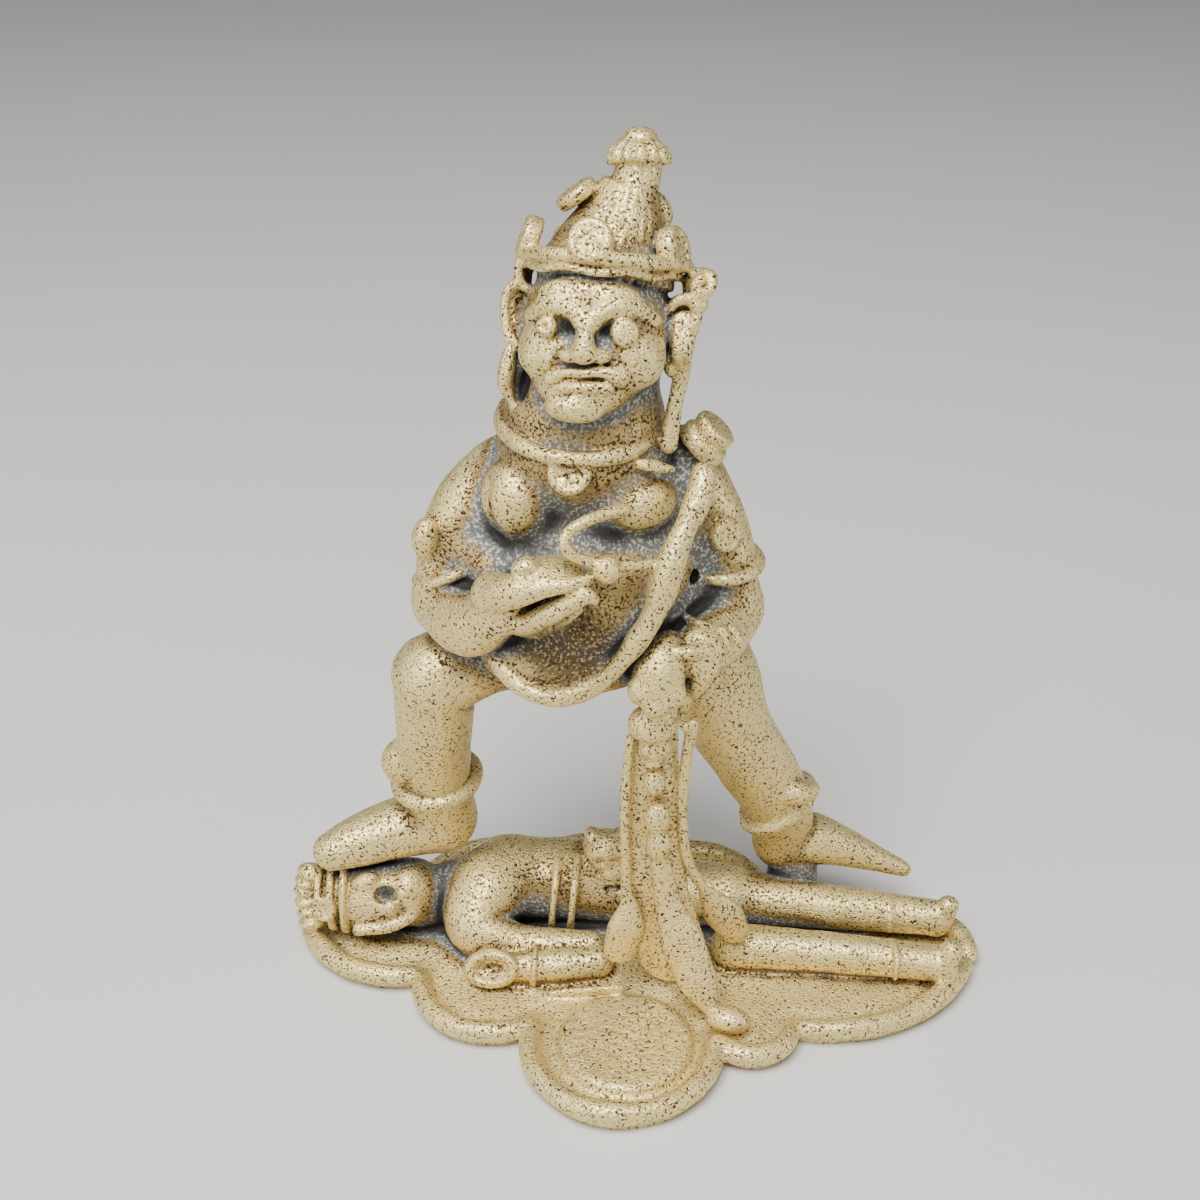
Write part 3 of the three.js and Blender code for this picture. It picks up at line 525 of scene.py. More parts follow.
tube = tree.add(
    "GeometryNodeCurveToMesh", {}, links={"Curve": line, "Profile Curve": profile, "Scale": scale, "Fill Caps": True}
)[0]
rolled_band = finish_tree(tree, tube)


def band(points, radius, closed=False, thickness=1.0, uneven=0.12, seed=1, on=UPRIGHT):
    """A rolled band along a smooth path through the points, as a form."""
    path, share = path_through(points, closed, step=0.4)
    if closed:
        path, share = path[:-1], share[:-1]
    if not np.isscalar(thickness):
        thickness = np.interp(share, np.linspace(0, 1, len(thickness)), thickness)
    line = polyline(path, closed, thickness=thickness)
    corners, triangles = grown(rolled_band, line, Radius=radius, Unevenness=uneven, Seed=seed)
    return meshed(corners, triangles, on)


test = band([(0, 0, 5), (5, 0, 5), (5, 5, 5)], 0.5)
print("a test band reaches from", test.low.round(2), "to", test.high.round(2))

# %% [markdown]
# ### Beads and ribs on a line
# The ribbed topknot and the beaded strand are rows of pressed balls. The tree puts a ball at each point
# of a line, turned along it, with its own length and width, each a little off so that no two are the same.

# %% The tree of the beads
tree, given = ornament_tree("beads", Count=5, Length=0.6, Width=0.9, Unevenness=0.1, Seed=1)
line = tree.add("GeometryNodeMeshToCurve", {}, given["Geometry"])[0]
spots = tree.add("GeometryNodeCurveToPoints", {"mode": "COUNT"}, links={"Curve": line, "Count": given["Count"]})
ball = tree.add("GeometryNodeMeshUVSphere", {}, links={"Segments": 16, "Rings": 10, "Radius": 1.0})[0]
least, most = 1 - given["Unevenness"], 1 + given["Unevenness"]
size = tree.add(
    "FunctionNodeRandomValue", {"data_type": "FLOAT"}, links={"Min": least, "Max": most, "Seed": given["Seed"]}
)["Value"]
stretch = tree.add(
    "ShaderNodeCombineXYZ", {}, given["Width"] * size, given["Width"] * size, given["Length"] * size
)[0]
beads = tree.add(
    "GeometryNodeInstanceOnPoints",
    {},
    links={"Points": spots["Points"], "Instance": ball, "Rotation": spots["Rotation"], "Scale": stretch},
)[0]
beads_tree = finish_tree(tree, beads)


def shells(corners, triangles, count):
    """Splits the corners and triangles of a number of equal shells."""
    corners, triangles = np.split(corners, count), np.split(triangles, count)
    return [(piece, faces - faces.min()) for piece, faces in zip(corners, triangles)]


def beaded(points, count, length, width, uneven=0.1, seed=1, on=UPRIGHT):
    """A row of beads or ribs along a path through the points, as forms."""
    path, _ = path_through(points, step=0.3)
    made = grown(beads_tree, polyline(path), Count=count, Length=length, Width=width, Unevenness=uneven, Seed=seed)
    return [meshed(*shell, on=on) for shell in shells(*made, count)]


print("a test bead is", (lambda f: (f.high - f.low).round(2))(beaded([(0, 0, 5), (0, 0, 9)], 3, 0.6, 0.9)[0]))

# %% [markdown]
# ### Petals and locks round an axis
# The bud on the crown is a ring of petals and the hair is a ring of locks. Both repeat one bent rod round an axis,
# so the tree turns a line about z as many times as is asked, shakes it a little and sweeps a circle along it.

# %% The tree of the ring of rods
tree, given = ornament_tree("ring_of_rods", Count=12, Radius=0.5, Flatness=1.0, Unevenness=0.1, Seed=1)
line = tree.add("GeometryNodeMeshToCurve", {}, given["Geometry"])[0]
posts = tree.add("GeometryNodeMeshLine", {}, links={"Count": given["Count"], "Offset": (0.0, 0.0, 0.0)})[0]
step = tree.add("GeometryNodeInputIndex", {})[0] * (2 * math.pi) / given["Count"]
sway = tree.add(
    "FunctionNodeRandomValue", {"data_type": "FLOAT"}, links={"Min": -0.5, "Max": 0.5, "Seed": given["Seed"]}
)["Value"]
turn = tree.add("ShaderNodeCombineXYZ", {}, 0.0, 0.0, step + sway * given["Unevenness"] * 6 / given["Count"])[0]
rods = tree.add(
    "GeometryNodeInstanceOnPoints", {}, links={"Points": posts, "Instance": line, "Rotation": turn}
)[0]
rods = tree.add("GeometryNodeRealizeInstances", {}, rods)[0]
where = tree.add("GeometryNodeInputPosition", {})[0]
shake = tree.add(
    "ShaderNodeTexNoise",
    {"noise_dimensions": "4D"},
    links={"Vector": where, "W": given["Seed"] * 3.1, "Scale": 0.6, "Detail": 1.0},
)["Color"]
centred = tree.add("ShaderNodeVectorMath", {"operation": "SUBTRACT"}, shake, (0.5, 0.5, 0.5))[0]
offset = tree.add("ShaderNodeVectorMath", {"operation": "SCALE"}, links={"Vector": centred, "Scale": given["Unevenness"] * 4})[0]
rods = tree.add("GeometryNodeSetPosition", {}, links={"Geometry": rods, "Offset": offset})[0]
thickness = tree.add("GeometryNodeInputNamedAttribute", {"data_type": "FLOAT"}, links={"Name": "thickness"})[0]
profile = tree.add(
    "GeometryNodeCurvePrimitiveCircle", {"mode": "RADIUS"}, links={"Resolution": 10, "Radius": 1.0}
)[0]
profile = tree.add(
    "GeometryNodeTransform",
    {},
    links={"Geometry": profile, "Scale": tree.add("ShaderNodeCombineXYZ", {}, given["Flatness"], 1.0, 1.0)[0]},
)[0]
tubes = tree.add(
    "GeometryNodeCurveToMesh",
    {},
    links={"Curve": rods, "Profile Curve": profile, "Scale": thickness * given["Radius"], "Fill Caps": True},
)[0]
ring_tree = finish_tree(tree, tubes)


def ring_of(points, count, radius, thickness=(1, 1), flat=1.0, uneven=0.1, seed=1, on=UPRIGHT):
    """The same rod repeated round z, as forms. The points are of the one at angle 0."""
    path, share = path_through(points, step=0.3)
    thick = np.interp(share, np.linspace(0, 1, len(thickness)), thickness)
    line = polyline(path, thickness=thick)
    made = grown(ring_tree, line, Count=count, Radius=radius, Flatness=flat, Unevenness=uneven, Seed=seed)
    return [meshed(*shell, on=on) for shell in shells(*made, count)]


print("rods in a test ring:", len(ring_of([(2, 0, 5), (3, 0, 9)], 6, 0.5)))

# %% [markdown]
# ### Pits over a face
# The round jewels and the patch on the front lobe are stippled: the wax was pricked before it was cast. The tree
# scatters small balls over a face, never closer together than a set distance, and they are cut from the wax.

# %% The tree of the pits
tree, given = ornament_tree("pits", Size=0.2, Distance=0.5, Unevenness=0.3, Seed=1)
dots = tree.add(
    "GeometryNodeDistributePointsOnFaces",
    {"distribute_method": "POISSON"},
    links={"Mesh": given["Geometry"], "Distance Min": given["Distance"], "Density Max": 12.0, "Seed": given["Seed"]},
)["Points"]
ball = tree.add("GeometryNodeMeshIcoSphere", {}, links={"Radius": given["Size"], "Subdivisions": 2})[0]
least, most = 1 - given["Unevenness"], 1 + given["Unevenness"]
size = tree.add(
    "FunctionNodeRandomValue", {"data_type": "FLOAT"}, links={"Min": least, "Max": most, "Seed": given["Seed"]}
)["Value"]
pits = tree.add("GeometryNodeInstanceOnPoints", {}, links={"Points": dots, "Instance": ball, "Scale": size})[0]
pits_tree = finish_tree(tree, pits)


def pitted(outline, height, size, distance, seed=1, on=UPRIGHT):
    """Pits scattered over a flat outline of x and y points at a height of the place, as one form to cut."""
    mesh = bpy.data.meshes.new("face")
    mesh.from_pydata([(x, y, height) for x, y in outline], [], [list(range(len(outline)))])
    return meshed(*grown(pits_tree, mesh, Size=size, Distance=distance, Seed=seed), on=on)


def circle(radius, centre=(0, 0), count=24):
    turns = np.linspace(0, 2 * math.pi, count, endpoint=False)
    return [(centre[0] + radius * math.cos(turn), centre[1] + radius * math.sin(turn)) for turn in turns]


def jewel(centre, normal, radius, thick, hollow=0.0, pricked=False, blend=0.2, seed=1, on=UPRIGHT):
    """A round jewel pressed onto the wax, with a hollow or pits in its face."""
    place = aimed(centre, normal, on)
    wax.add(coin(radius, thick, edge=0.32, on=place), blend=blend)
    if hollow:
        wax.cut(egg((0, 0, thick + 0.1), (radius * 0.66, radius * 0.66, hollow + 0.1), on=place), blend=0.2)
    if pricked:
        wax.cut(pitted(circle(radius * 0.62), thick - hollow, 0.17, 0.42, seed, place), blend=0.1)


print("the four ornament trees are ready")

# %% [markdown]
# ## The base
# The base is a thin dished plate whose outline is a chain of lobes, with a rolled rim. Its outline is drawn as
# arcs through three points, and the plate's distance is worked out from that outline. The rim is a rolled band
# along each lobe. The front lobe carries a stippled patch with a groove round it.

# %% The plate, the rim and the patch on the front lobe
PLATE = 1.2  # thickness of the plate
RIM = 0.85  # radius of the rolled rim
RIM_HEIGHT = 1.35  # height of the middle of the rim
LOBES = [
    [(-26.4, 0.9), (-22.4, -4.2), (-16.7, -5.0)],
    [(-16.7, -5.0), (-13.9, -10.6), (-7.8, -10.2)],
    [(-7.8, -10.2), (-1.2, -19.3), (5.5, -11.9)],
    [(5.5, -11.9), (9.0, -13.6), (11.4, -10.8)],
    [(11.4, -10.8), (19.6, -9.8), (25.9, -3.4)],
    [(25.9, -3.4), (26.0, -0.8), (24.4, 1.3)],
    [(24.4, 1.3), (17.6, 3.6), (10.4, 5.0)],
    [(10.4, 5.0), (8.4, 8.9), (2.8, 10.0)],
    [(2.8, 10.0), (-2.4, 11.6), (-7.6, 9.8)],
    [(-7.6, 9.8), (-12.9, 10.6), (-17.2, 7.2)],
    [(-17.2, 7.2), (-23.4, 6.6), (-26.4, 0.9)],
]


def arc(points, step=0.8):
    """Points along the circle arc through three points."""
    a, b, c = [complex(*point) for point in points]
    ratio = (c - a) / (b - a)
    centre = a + (b - a) * (ratio - abs(ratio) ** 2) / (2j * ratio.imag)
    start, through, end = [math.atan2((p - centre).imag, (p - centre).real) for p in (a, b, c)]
    full = 2 * math.pi
    sweep = (end - start) % full
    if (through - start) % full > sweep:
        sweep -= full
    count = math.ceil(abs(sweep) * abs(a - centre) / step)
    turns = start + sweep * np.arange(count + 1) / count
    return np.column_stack([centre.real + abs(a - centre) * np.cos(turns), centre.imag + abs(a - centre) * np.sin(turns)])


outline = np.vstack([arc(lobe)[:-1] for lobe in LOBES])


def from_outline(x, y):
    """The distance from the outline, negative inside."""
    nearest = np.full(np.broadcast(x, y).shape, 1e6, np.float32)
    inside = np.zeros(nearest.shape, bool)
    for (ax, ay), (bx, by) in zip(outline, np.roll(outline, -1, axis=0)):
        t = np.clip(((x - ax) * (bx - ax) + (y - ay) * (by - ay)) / ((bx - ax) ** 2 + (by - ay) ** 2), 0, 1)
        nearest = np.minimum(nearest, (x - ax - t * (bx - ax)) ** 2 + (y - ay - t * (by - ay)) ** 2)
        if ay != by:
            inside ^= ((ay > y) != (by > y)) & (x < ax + (y - ay) * (bx - ax) / (by - ay))
    return np.where(inside, -1, 1) * np.sqrt(nearest)


def plate_distance(x, y, z):
    side = from_outline(x[:, :, 0], y[:, :, 0])[:, :, None]
    # The plate sinks a little just inside the rim, so a shadow line runs along it.
    channel = 0.22 * np.exp(-(((side + 1.7) / 0.7) ** 2))
    return np.maximum(side, z - PLATE + channel).astype(np.float32)


plate = Form((*outline.min(axis=0), -0.5), (*outline.max(axis=0), PLATE), plate_distance)
wax.add(plate, blend=0.2)
wax.add(egg((-2, 0.5, 0.3), (21, 7.4, 1.9)), blend=1.2)
for number, lobe in enumerate(LOBES):
    points = np.column_stack([arc(lobe) * 0.985, np.full(len(arc(lobe)), RIM_HEIGHT)])
    swell = (0.82, 1.0, 1.03, 1.0, 0.82)
    wax.add(band(points, RIM, thickness=swell, uneven=0.16, seed=number), blend=0.45)
patch = [(x - 1.0, max(y, -5.2) - 12.2) for x, y in circle(4.9, count=40)]
patch = [(x, min(y, -9.0)) for x, y in patch]
wax.add(coin(4.9, 1.75, edge=0.5, on=shift((-1.0, -12.2, 0))), blend=0.5)
wax.cut(pitted([(x * 0.94 - 0.06, y * 0.97 - 0.4) for x, y in patch], 1.85, 0.2, 0.42, seed=4), blend=0.12)
print("lobes:", len(LOBES), "outline points:", len(outline))

# %% [markdown]
# ## The lying figure
# Under the feet lies a crowned figure on its back, more a row of soft rolls than a body. Its big shoulder, its
# folded arms and its two tube legs are rods. Its crown is a ribbed topknot that hangs over the end of the base.

# %% The body and the legs
LYING = {
    name: np.array(place)
    for name, place in {
        "head": (-20.6, 0.6, 4.7),
        "crown": (-25.4, 0.3, 7.1),
        "shoulder": (-10.2, 2.0, 5.0),
        "waist": (-5.0, 2.4, 4.5),
        "hip": (7.0, 1.6, 3.5),
        "elbow": (-12.3, -1.8, 3.8),
        "hand": (-3.6, -3.5, 3.1),
        "lower_elbow": (-10.4, -5.3, 2.3),
        "lower_hand": (-3.0, -4.9, 2.5),
        "far_foot": (23.2, -0.3, 3.0),
        "near_hip": (7.4, -3.4, 2.7),
        "near_foot": (23.0, -5.2, 2.6),
    }.items()
}
head, shoulder, waist, hip = (LYING[name] for name in ("head", "shoulder", "waist", "hip"))
elbow, hand, far_foot = (LYING[name] for name in ("elbow", "hand", "far_foot"))
near_hip, near_foot = LYING["near_hip"], LYING["near_foot"]
wax.add(rod([head + (3.8, 0.6, -1.1), shoulder], [2.2, 2.8]), blend=0.8)
wax.add(rod([shoulder + (0.8, 0.2, -0.2), waist, waist + (4.5, 0, -0.9), hip], [3.3, 3.3, 3.0, 2.6]), blend=0.6)
wax.add(rod([hip, hip + (7, -0.9, -0.1), far_foot], [2.3, 1.8, 1.4]), blend=0.5)
wax.add(rod([near_hip, near_hip + (7, -0.6, 0), near_foot], [1.8, 1.55, 1.35]), blend=0.35)
arm = [shoulder, shoulder + (-1.4, -1.6, 0), elbow, elbow + (2.4, -1.5, -0.6), hand]
wax.add(rod(arm, [3.5, 3.3, 2.5, 1.6, 1.0]), blend=0.5)
wax.cut(rod([(-9.0, -0.6, 8.0), (-6.6, -1.8, 6.4), (-4.6, -2.6, 5.2)], [0.5, 0.75, 0.4]), blend=0.5)
for foot, back in ((far_foot, (0.4, 0, -0.6)), (near_foot, (0, 0.1, -0.6))):
    wax.add(rod([foot + back, foot + back + (0.7, -0.2, 1.9)], [1.05, 0.85]), blend=0.3)
    turn = around(foot + (-3.6, 0.15, 0), (0, 1.55, 0), (0.1, 0, 1.5), -60, 200)
    wax.add(band(turn, 0.22, seed=3), blend=0.2)
for step in (-1.4, 0.1):
    turn = around(waist + (step, -0.8, -0.2), (0.3, 0.2, 3.4), (-0.2, -3.4, 0), 0, 180)
    wax.add(band(turn, 0.3, seed=5), blend=0.2)
print("lying body from x", head[0], "to", far_foot[0])

# %% The head, the crown and the topknot
wax.add(rod([head + (-2.9, 0.1, 0), head, head + (2.9, 0, 0.2)], [2.2, 3.0, 2.6]), blend=0.5)
wax.add(egg(head + (2.9, -0.8, 1.4), (1.4, 1.8, 1.6)), blend=0.4)
wax.cut(egg(head + (1.2, -2.3, 1.6), (0.9, 0.8, 0.7)), blend=0.3)
wax.add(egg(head + (-0.4, -1.5, 2.3), (1.1, 0.7, 0.7), turn=(0, -25, 0)), blend=0.25)
wax.add(rod([head + (2.6, -2.3, 1.9), head + (3.4, -2.5, 0.3), head + (1.6, -2.9, -0.9), head + (-1.0, -2.9, -1.3)], 0.45), blend=0.4)
wax.add(egg(head + (1.6, -2.6, 0.7), (0.55, 0.5, 0.7)), blend=0.25)
for step, size in ((-4.1, 2.3), (-3.1, 2.6), (-2.1, 2.8)):
    turn = around(head + (step, 0.1, 0), (0, -size, 0), (0, 0, size + 0.1), -60, 150)
    wax.add(band(turn, 0.34, seed=7), blend=0.15)
jewel(head + (-3.4, -1.9, 0.2), (-0.35, -1, 0.3), 1.05, 0.9, hollow=0.25)
crown = LYING["crown"]
drop = [crown, crown + (-0.4, -0.2, -2), crown + (0.0, -0.9, -4.2)]
wax.add(rod(drop, [0.75]), blend=0.3)
wax.add(beaded(drop, 6, 0.5, 1.1, uneven=0.06), blend=0.08)
print("ribs on the topknot: 6")

# %% The folded arm, the open ring jewel and the small beast's head
elbow, hand = LYING["lower_elbow"], LYING["lower_hand"]
middle = elbow + (3.8, 0.1, 0.2)
wax.add(rod([elbow, middle, hand], [1.25, 1.3, 1.2]), blend=0.4)
wax.add(band(around(middle + (-1.3, 0, 0), (0, -1.45, 0), (0.1, 0, 1.45), -60, 180), 0.24, seed=2), blend=0.15)
ring_place = aimed(elbow + (-0.5, -0.1, 0.2), (-0.25, -1, 0.55))
wax.add(coin(1.5, 0.7, on=ring_place), blend=0.2)
wax.add(band(around((0, 0, 0.8), (1.72, 0.35, 0), (-0.2, 1.1, 0)), 0.42, closed=True, seed=6, on=ring_place), blend=0.15)
wax.cut(egg((0, 0, 0.9), (1.0, 0.4, 0.55), turn=(0, 0, 14), on=ring_place), blend=0.2)
wax.add(rod([middle + (0, -2.1, -1), middle + (5.2, -1.9, -0.7)], [0.25, 0.5], flat=0.7), blend=0.3)
beast = waist + (2.6, 0, 2.8)
wax.add(egg(beast, (1.9, 1.9, 2.1), turn=(20, 0, 15)), blend=0.4)
wax.add(egg(beast + (0.4, -1.3, -1.1), (1.25, 1.1, 1.0)), blend=0.25)
for side in (-1, 1):
    wax.add(egg(beast + (side * 1.1, 0.3, 1.5), (0.6, 0.8, 0.6)), blend=0.25)
    wax.cut(egg(beast + (side * 0.65 + 0.1, -1.95, 0.35), 0.42), blend=0.15)
    wax.cut(egg(beast + (side * 0.35 + 0.4, -2.45, -0.95), 0.24), blend=0.1)
wax.cut(rod([beast + (-0.6, -2.0, -1.8), beast + (0.4, -2.5, -1.7), beast + (1.4, -1.9, -1.8)], [0.16]), blend=0.1)
print("the lying figure is in the wax")

# %% [markdown]
# ## The standing body
# The body is built from the middle outwards. Trunk and limbs get wide soft seams, because flesh runs into flesh,
# and what is worn gets narrow ones, because it lies on top.

# %% The legs
BODY = {
    name: np.array(place)
    for name, place in {
        "neck": (-3.7, -0.8, 48.4),
        "chest": (-3.7, 0.2, 40.2),
        "belly": (-3.4, -1.2, 34.6),
        "hips": (-2.6, 1.6, 29.6),
        "right_shoulder": (-9.9, 0.3, 41.4),
        "right_upper_arm": (-12.9, -1.4, 37.4),
        "right_elbow": (-13.2, -2.4, 33.0),
        "right_wrist": (-9.4, -7.7, 35.2),
        "left_shoulder": (2.6, 0.3, 42.2),
        "left_upper_arm": (5.0, -1.0, 37.5),
        "left_elbow": (5.8, -1.7, 32.0),
        "left_wrist": (3.4, -6.9, 31.4),
        "right_hip": (-6.0, 0.4, 28.2),
        "right_knee": (-14.6, -2.0, 26.5),
        "right_ankle": (-15.2, 1.4, 14.0),
        "right_heel": (-15.1, 2.4, 10.5),
        "right_toe": (-23.3, 0.1, 9.3),
        "left_hip": (1.8, 1.2, 28.4),
        "left_knee": (6.6, 1.2, 20.6),
        "left_ankle": (10.9, 3.2, 11.6),
        "left_heel": (11.6, 4.2, 7.2),
        "left_toe": (21.3, 3.2, 5.0),
    }.items()
}
UNDERFOOT = (0, 0, 1)


def places(*names):
    return [BODY[name] for name in names]


hip, knee, ankle, heel, toe = places("right_hip", "right_knee", "right_ankle", "right_heel", "right_toe")
wax.add(rod([heel, heel + (-3.1, -0.5, -0.3), heel + (-6.5, -1.5, -0.9), toe], [2.6, 2.5, 2.1, 1.65], 0.92, UNDERFOOT), blend=0.35)
thigh = rod([hip, hip + (-4.5, -1.2, -0.2), knee], [3.7, 3.0, 3.1])
shin = rod([knee, knee + (-0.4, 1.4, -5.8), ankle + (-0.1, 0, 1), ankle + (0.2, 0.6, -2)], [3.05, 2.75, 2.6, 2.5])
wax.add(thigh, shin, blend=0.9)
wax.add(band(around(ankle + (0, 0, 1.2), (2.95, 0, 0.3), (0, -2.95, -0.3)), 0.6, closed=True, seed=11), blend=0.25)
wax.add(rod([ankle + (-1.5, -1.8, 5.3), ankle + (-2.4, -1.5, 3.9), ankle + (-2.5, -0.8, 2.2)], [1.1, 1.6, 1.0]), blend=0.4)
wax.cut(rod([heel + (-9.9, -3.0, 0.6), heel + (-8.0, -2.9, 1.0), heel + (-5.5, -2.2, 1.9)], [0.12, 0.22, 0.12]), blend=0.3)

hip, knee, ankle, heel, toe = places("left_hip", "left_knee", "left_ankle", "left_heel", "left_toe")
wax.add(rod([hip, hip + (3, -0.4, -3), knee, ankle, heel], [4.0, 3.6, 3.1, 2.6, 2.3]), blend=0.8)
wax.add(rod([(12.4, 3.8, 1), (12.6, 3.8, 5.4)], [2.3, 1.9]), blend=0.5)
wax.add(rod([heel, heel + (2.4, -0.1, 0.1), heel + (5.4, -0.4, -0.7), toe], [2.3, 2.2, 1.5, 0.6], 0.92, UNDERFOOT), blend=0.4)
wax.add(band(around(ankle, (2.5, 0, 1.35), (-0.2, -2.6, -0.3)), 0.55, closed=True, seed=12), blend=0.25)
wax.add(rod([ankle + (-0.4, -2.4, 2.8), ankle + (1.2, -2.5, 2.7), ankle + (2.3, -1.6, 2.4)], [0.85, 0.95, 0.7]), blend=0.25)
print("legs from z", heel[2], "to", hip[2])

# %% The trunk, the neck and the collar
neck, chest, belly, hips = places("neck", "chest", "belly", "hips")
wax.add(egg(hips, (7.4, 5.2, 5.0)), blend=1.2)
wax.add(egg(belly, (8.0, 7.1, 7.0)), blend=0.9)
wax.add(egg(belly + (-1.4, -3.6, -4.1), (6.3, 3.5, 3.0)), blend=0.8)
wax.add(egg(chest, (8.2, 5.6, 5.4)), blend=1.2)
wax.add(egg((-8.2, -3.5, 41.5), (2.5, 2.7, 2.7)), egg((-0.6, -3.9, 41.5), (2.7, 2.6, 2.1)), blend=0.7)
wax.cut(egg((-2.5, -7.2, 39.9), (2.4, 1.5, 0.9), turn=(0, 15, 0)), blend=0.6)
wax.cut(rod([(-10.3, -4.6, 43.2), (-10.3, -4.9, 41.2), (-10.0, -5.0, 39.5)], [0.3, 0.45, 0.6]), blend=0.6)
wax.cut(rod([(-9.4, -5.6, 39.0), (-7.8, -6.2, 38.8), (-6.2, -6.4, 39.2)], [0.5, 0.6, 0.3]), blend=0.6)
wax.add(rod([neck + (0.1, -0.2, 1.6), neck, neck + (-0.3, 0, -3.8)], [4.2, 4.4, 5.7]), blend=0.8)
wax.add(egg(neck + (-0.2, 1.6, 0.4), (5.1, 3.2, 3.4)), blend=0.5)
wax.add(rod([(-0.8, -5.3, 44.7), (0.4, -5.5, 44.6), (1.7, -5.2, 44.2)], [0.2, 0.42, 0.25]), blend=0.35)
wax.cut(rod([(-0.6, -5.7, 43.8), (0.5, -5.9, 43.4), (1.6, -5.8, 43.1)], [0.2, 0.5, 0.25]), blend=0.2)
wax.add(band(around(neck + (-0.6, -0.2, -2.6), (5.1, 0, -0.2), (0, 5.6, 0.25)), 0.5, closed=True, seed=13), blend=0.2)
print("trunk from z", hips[2] - 5, "to", neck[2])

# %% [markdown]
# ## Arms, hands and what they hold
# The right hand brings a bowl to the chest: a thumb lies above it and long fingers below. The left hand hangs out
# of its cuff and holds the mongoose by the neck, head down, and the jewels pour from its mouth.

# %% The right arm
shoulder, upper, elbow, wrist = places("right_shoulder", "right_upper_arm", "right_elbow", "right_wrist")
wax.add(rod([shoulder, shoulder + (-1.7, -0.8, -1.8), upper, elbow], [2.2, 2.35, 2.15, 2.4]), blend=0.7)
wax.add(rod([upper + (2.4, 0.2, 1.2), wrist + (0, 3.8, -1.2)], [2.2, 2.2]), blend=0.8)
wax.add(rod([upper + (1.6, -1.0, -0.6), (-9.8, -4.0, 36.4)], [1.9, 1.8]), blend=0.8)
wax.add(rod([elbow, elbow + (1.6, -3.0, 0), wrist], [2.6, 2.4, 1.7]), blend=0.6)
wax.add(band(around(upper + (0, -0.5, -1.9), (2.5, 0, 1.2), (0, -2.6, 0.4), -130, 200), 0.42, seed=14), blend=0.2)
wax.add(egg((-14.5, -3.1, 38.1), (0.95, 0.95, 1.5), turn=(0, 8, 0)), blend=0.12)
print("right wrist at", wrist)

# %% The bowl and the hand that holds it
bowl = np.array((-6.0, -9.0, 39.0))
wax.add(egg(bowl + (0, 0.3, -0.5), (2.1, 1.9, 0.95)), blend=0.2)
wax.add(rod([(-8.5, -7.4, 39.2), (-7.7, -7.5, 40.0), (-6.7, -7.7, 40.4), (-5.3, -8.0, 40.5)], [0.3, 0.36, 0.36, 0.3]), blend=0.3)
wax.cut(rod([(-7.4, -8.4, 39.8), (-6.3, -8.5, 40.0), (-5.2, -8.6, 40.0)], [0.12, 0.26, 0.3]), blend=0.15)
wax.add(egg((-7.65, -9.2, 39.25), (0.95, 0.8, 0.75), turn=(0, -15, 0)), blend=0.15)
thumb = [wrist + (-0.4, -0.4, 1.5), (-8.0, -9.7, 37.85), (-6.5, -10.1, 38.25), (-5.0, -10.2, 38.5), (-3.7, -9.8, 38.75)]
wax.add(rod(thumb, [1.45, 1.1, 0.66, 0.5, 0.36]), blend=0.15)
finger = [(-8.6, -8.2, 34.9), (-7.6, -9.0, 35.0), (-6.1, -9.8, 36.2), (-4.7, -10.3, 37.3), (-3.6, -10.5, 37.9), (-3.2, -10.4, 37.5)]
wax.add(rod(finger, [0.9, 0.8, 0.74, 0.64, 0.46, 0.3]), blend=0.12)
wax.add(rod([(-8.6, -8.6, 36.6), (-8.9, -8.2, 35.2), (-8.0, -8.3, 34.4), (-6.9, -8.7, 34.2)], [0.9, 0.8, 0.7, 0.5]), blend=0.25)
wax.add(rod([(-7.0, -8.4, 34.3), (-5.6, -9.1, 35.1), (-4.2, -9.6, 36.4)], [0.55, 0.55, 0.3]), blend=0.12)
for depth in (-10.4, -9.7):
    wax.cut(rod([(-8.5, depth + 0.4, 36.3), (-7.0, depth, 36.9), (-5.4, depth - 0.2, 37.8), (-4.4, depth - 0.2, 38.3)], [0.32, 0.48, 0.24, 0.1]), blend=0.15)
wax.cut(egg((-3.4, -9.4, 39.9), (1.0, 0.9, 0.55)), blend=0.2)
print("bowl at", bowl)

# %% The left arm and its cuff
shoulder, upper, elbow, wrist = places("left_shoulder", "left_upper_arm", "left_elbow", "left_wrist")
wax.add(rod([shoulder, (3.4, -0.3, 40.8), upper, elbow], [2.5, 2.4, 2.3, 2.5]), blend=0.7)
wax.add(rod([upper + (-2.2, -0.2, 0.6), elbow + (-2.4, -0.5, 0)], [2.6, 2.6]), blend=0.8)
wax.add(rod([elbow, elbow + (-0.9, -2.7, -0.5), wrist + (0.2, 0, 0.3)], [2.6, 2.3, 1.9]), blend=0.6)
wax.cut(rod([(4.1, -4.6, 36.6), (2.9, -5.9, 35.0), (1.0, -7.7, 33.4)], [0.35, 0.3, 0.2]), blend=0.5)
wax.add(band(around((5.3, -1.4, 35.6), (2.75, 0, 0.0), (0, -2.75, -0.1), -50, 200), 0.43, seed=15), blend=0.2)
wax.cut(egg((3.3, -4.3, 35.9), (0.5, 0.5, 0.5)), blend=0.2)
wax.add(rod([wrist + (-0.8, 1.9, -0.8), wrist + (-1.2, 0.7, -3), wrist + (-1.5, 0.5, -5)], [1.8, 1.5, 1.1]), blend=0.5)
wax.add(rod([(2.8, -5.8, 33.6), (3.9, -6.6, 33.4), (4.9, -6.9, 32.9)], [0.28, 0.34, 0.3]), blend=0.12)
wax.add(rod([(5.2, -6.7, 33.0), (5.55, -6.9, 32.2), (5.5, -6.8, 31.2)], [0.38, 0.42, 0.3]), blend=0.1)
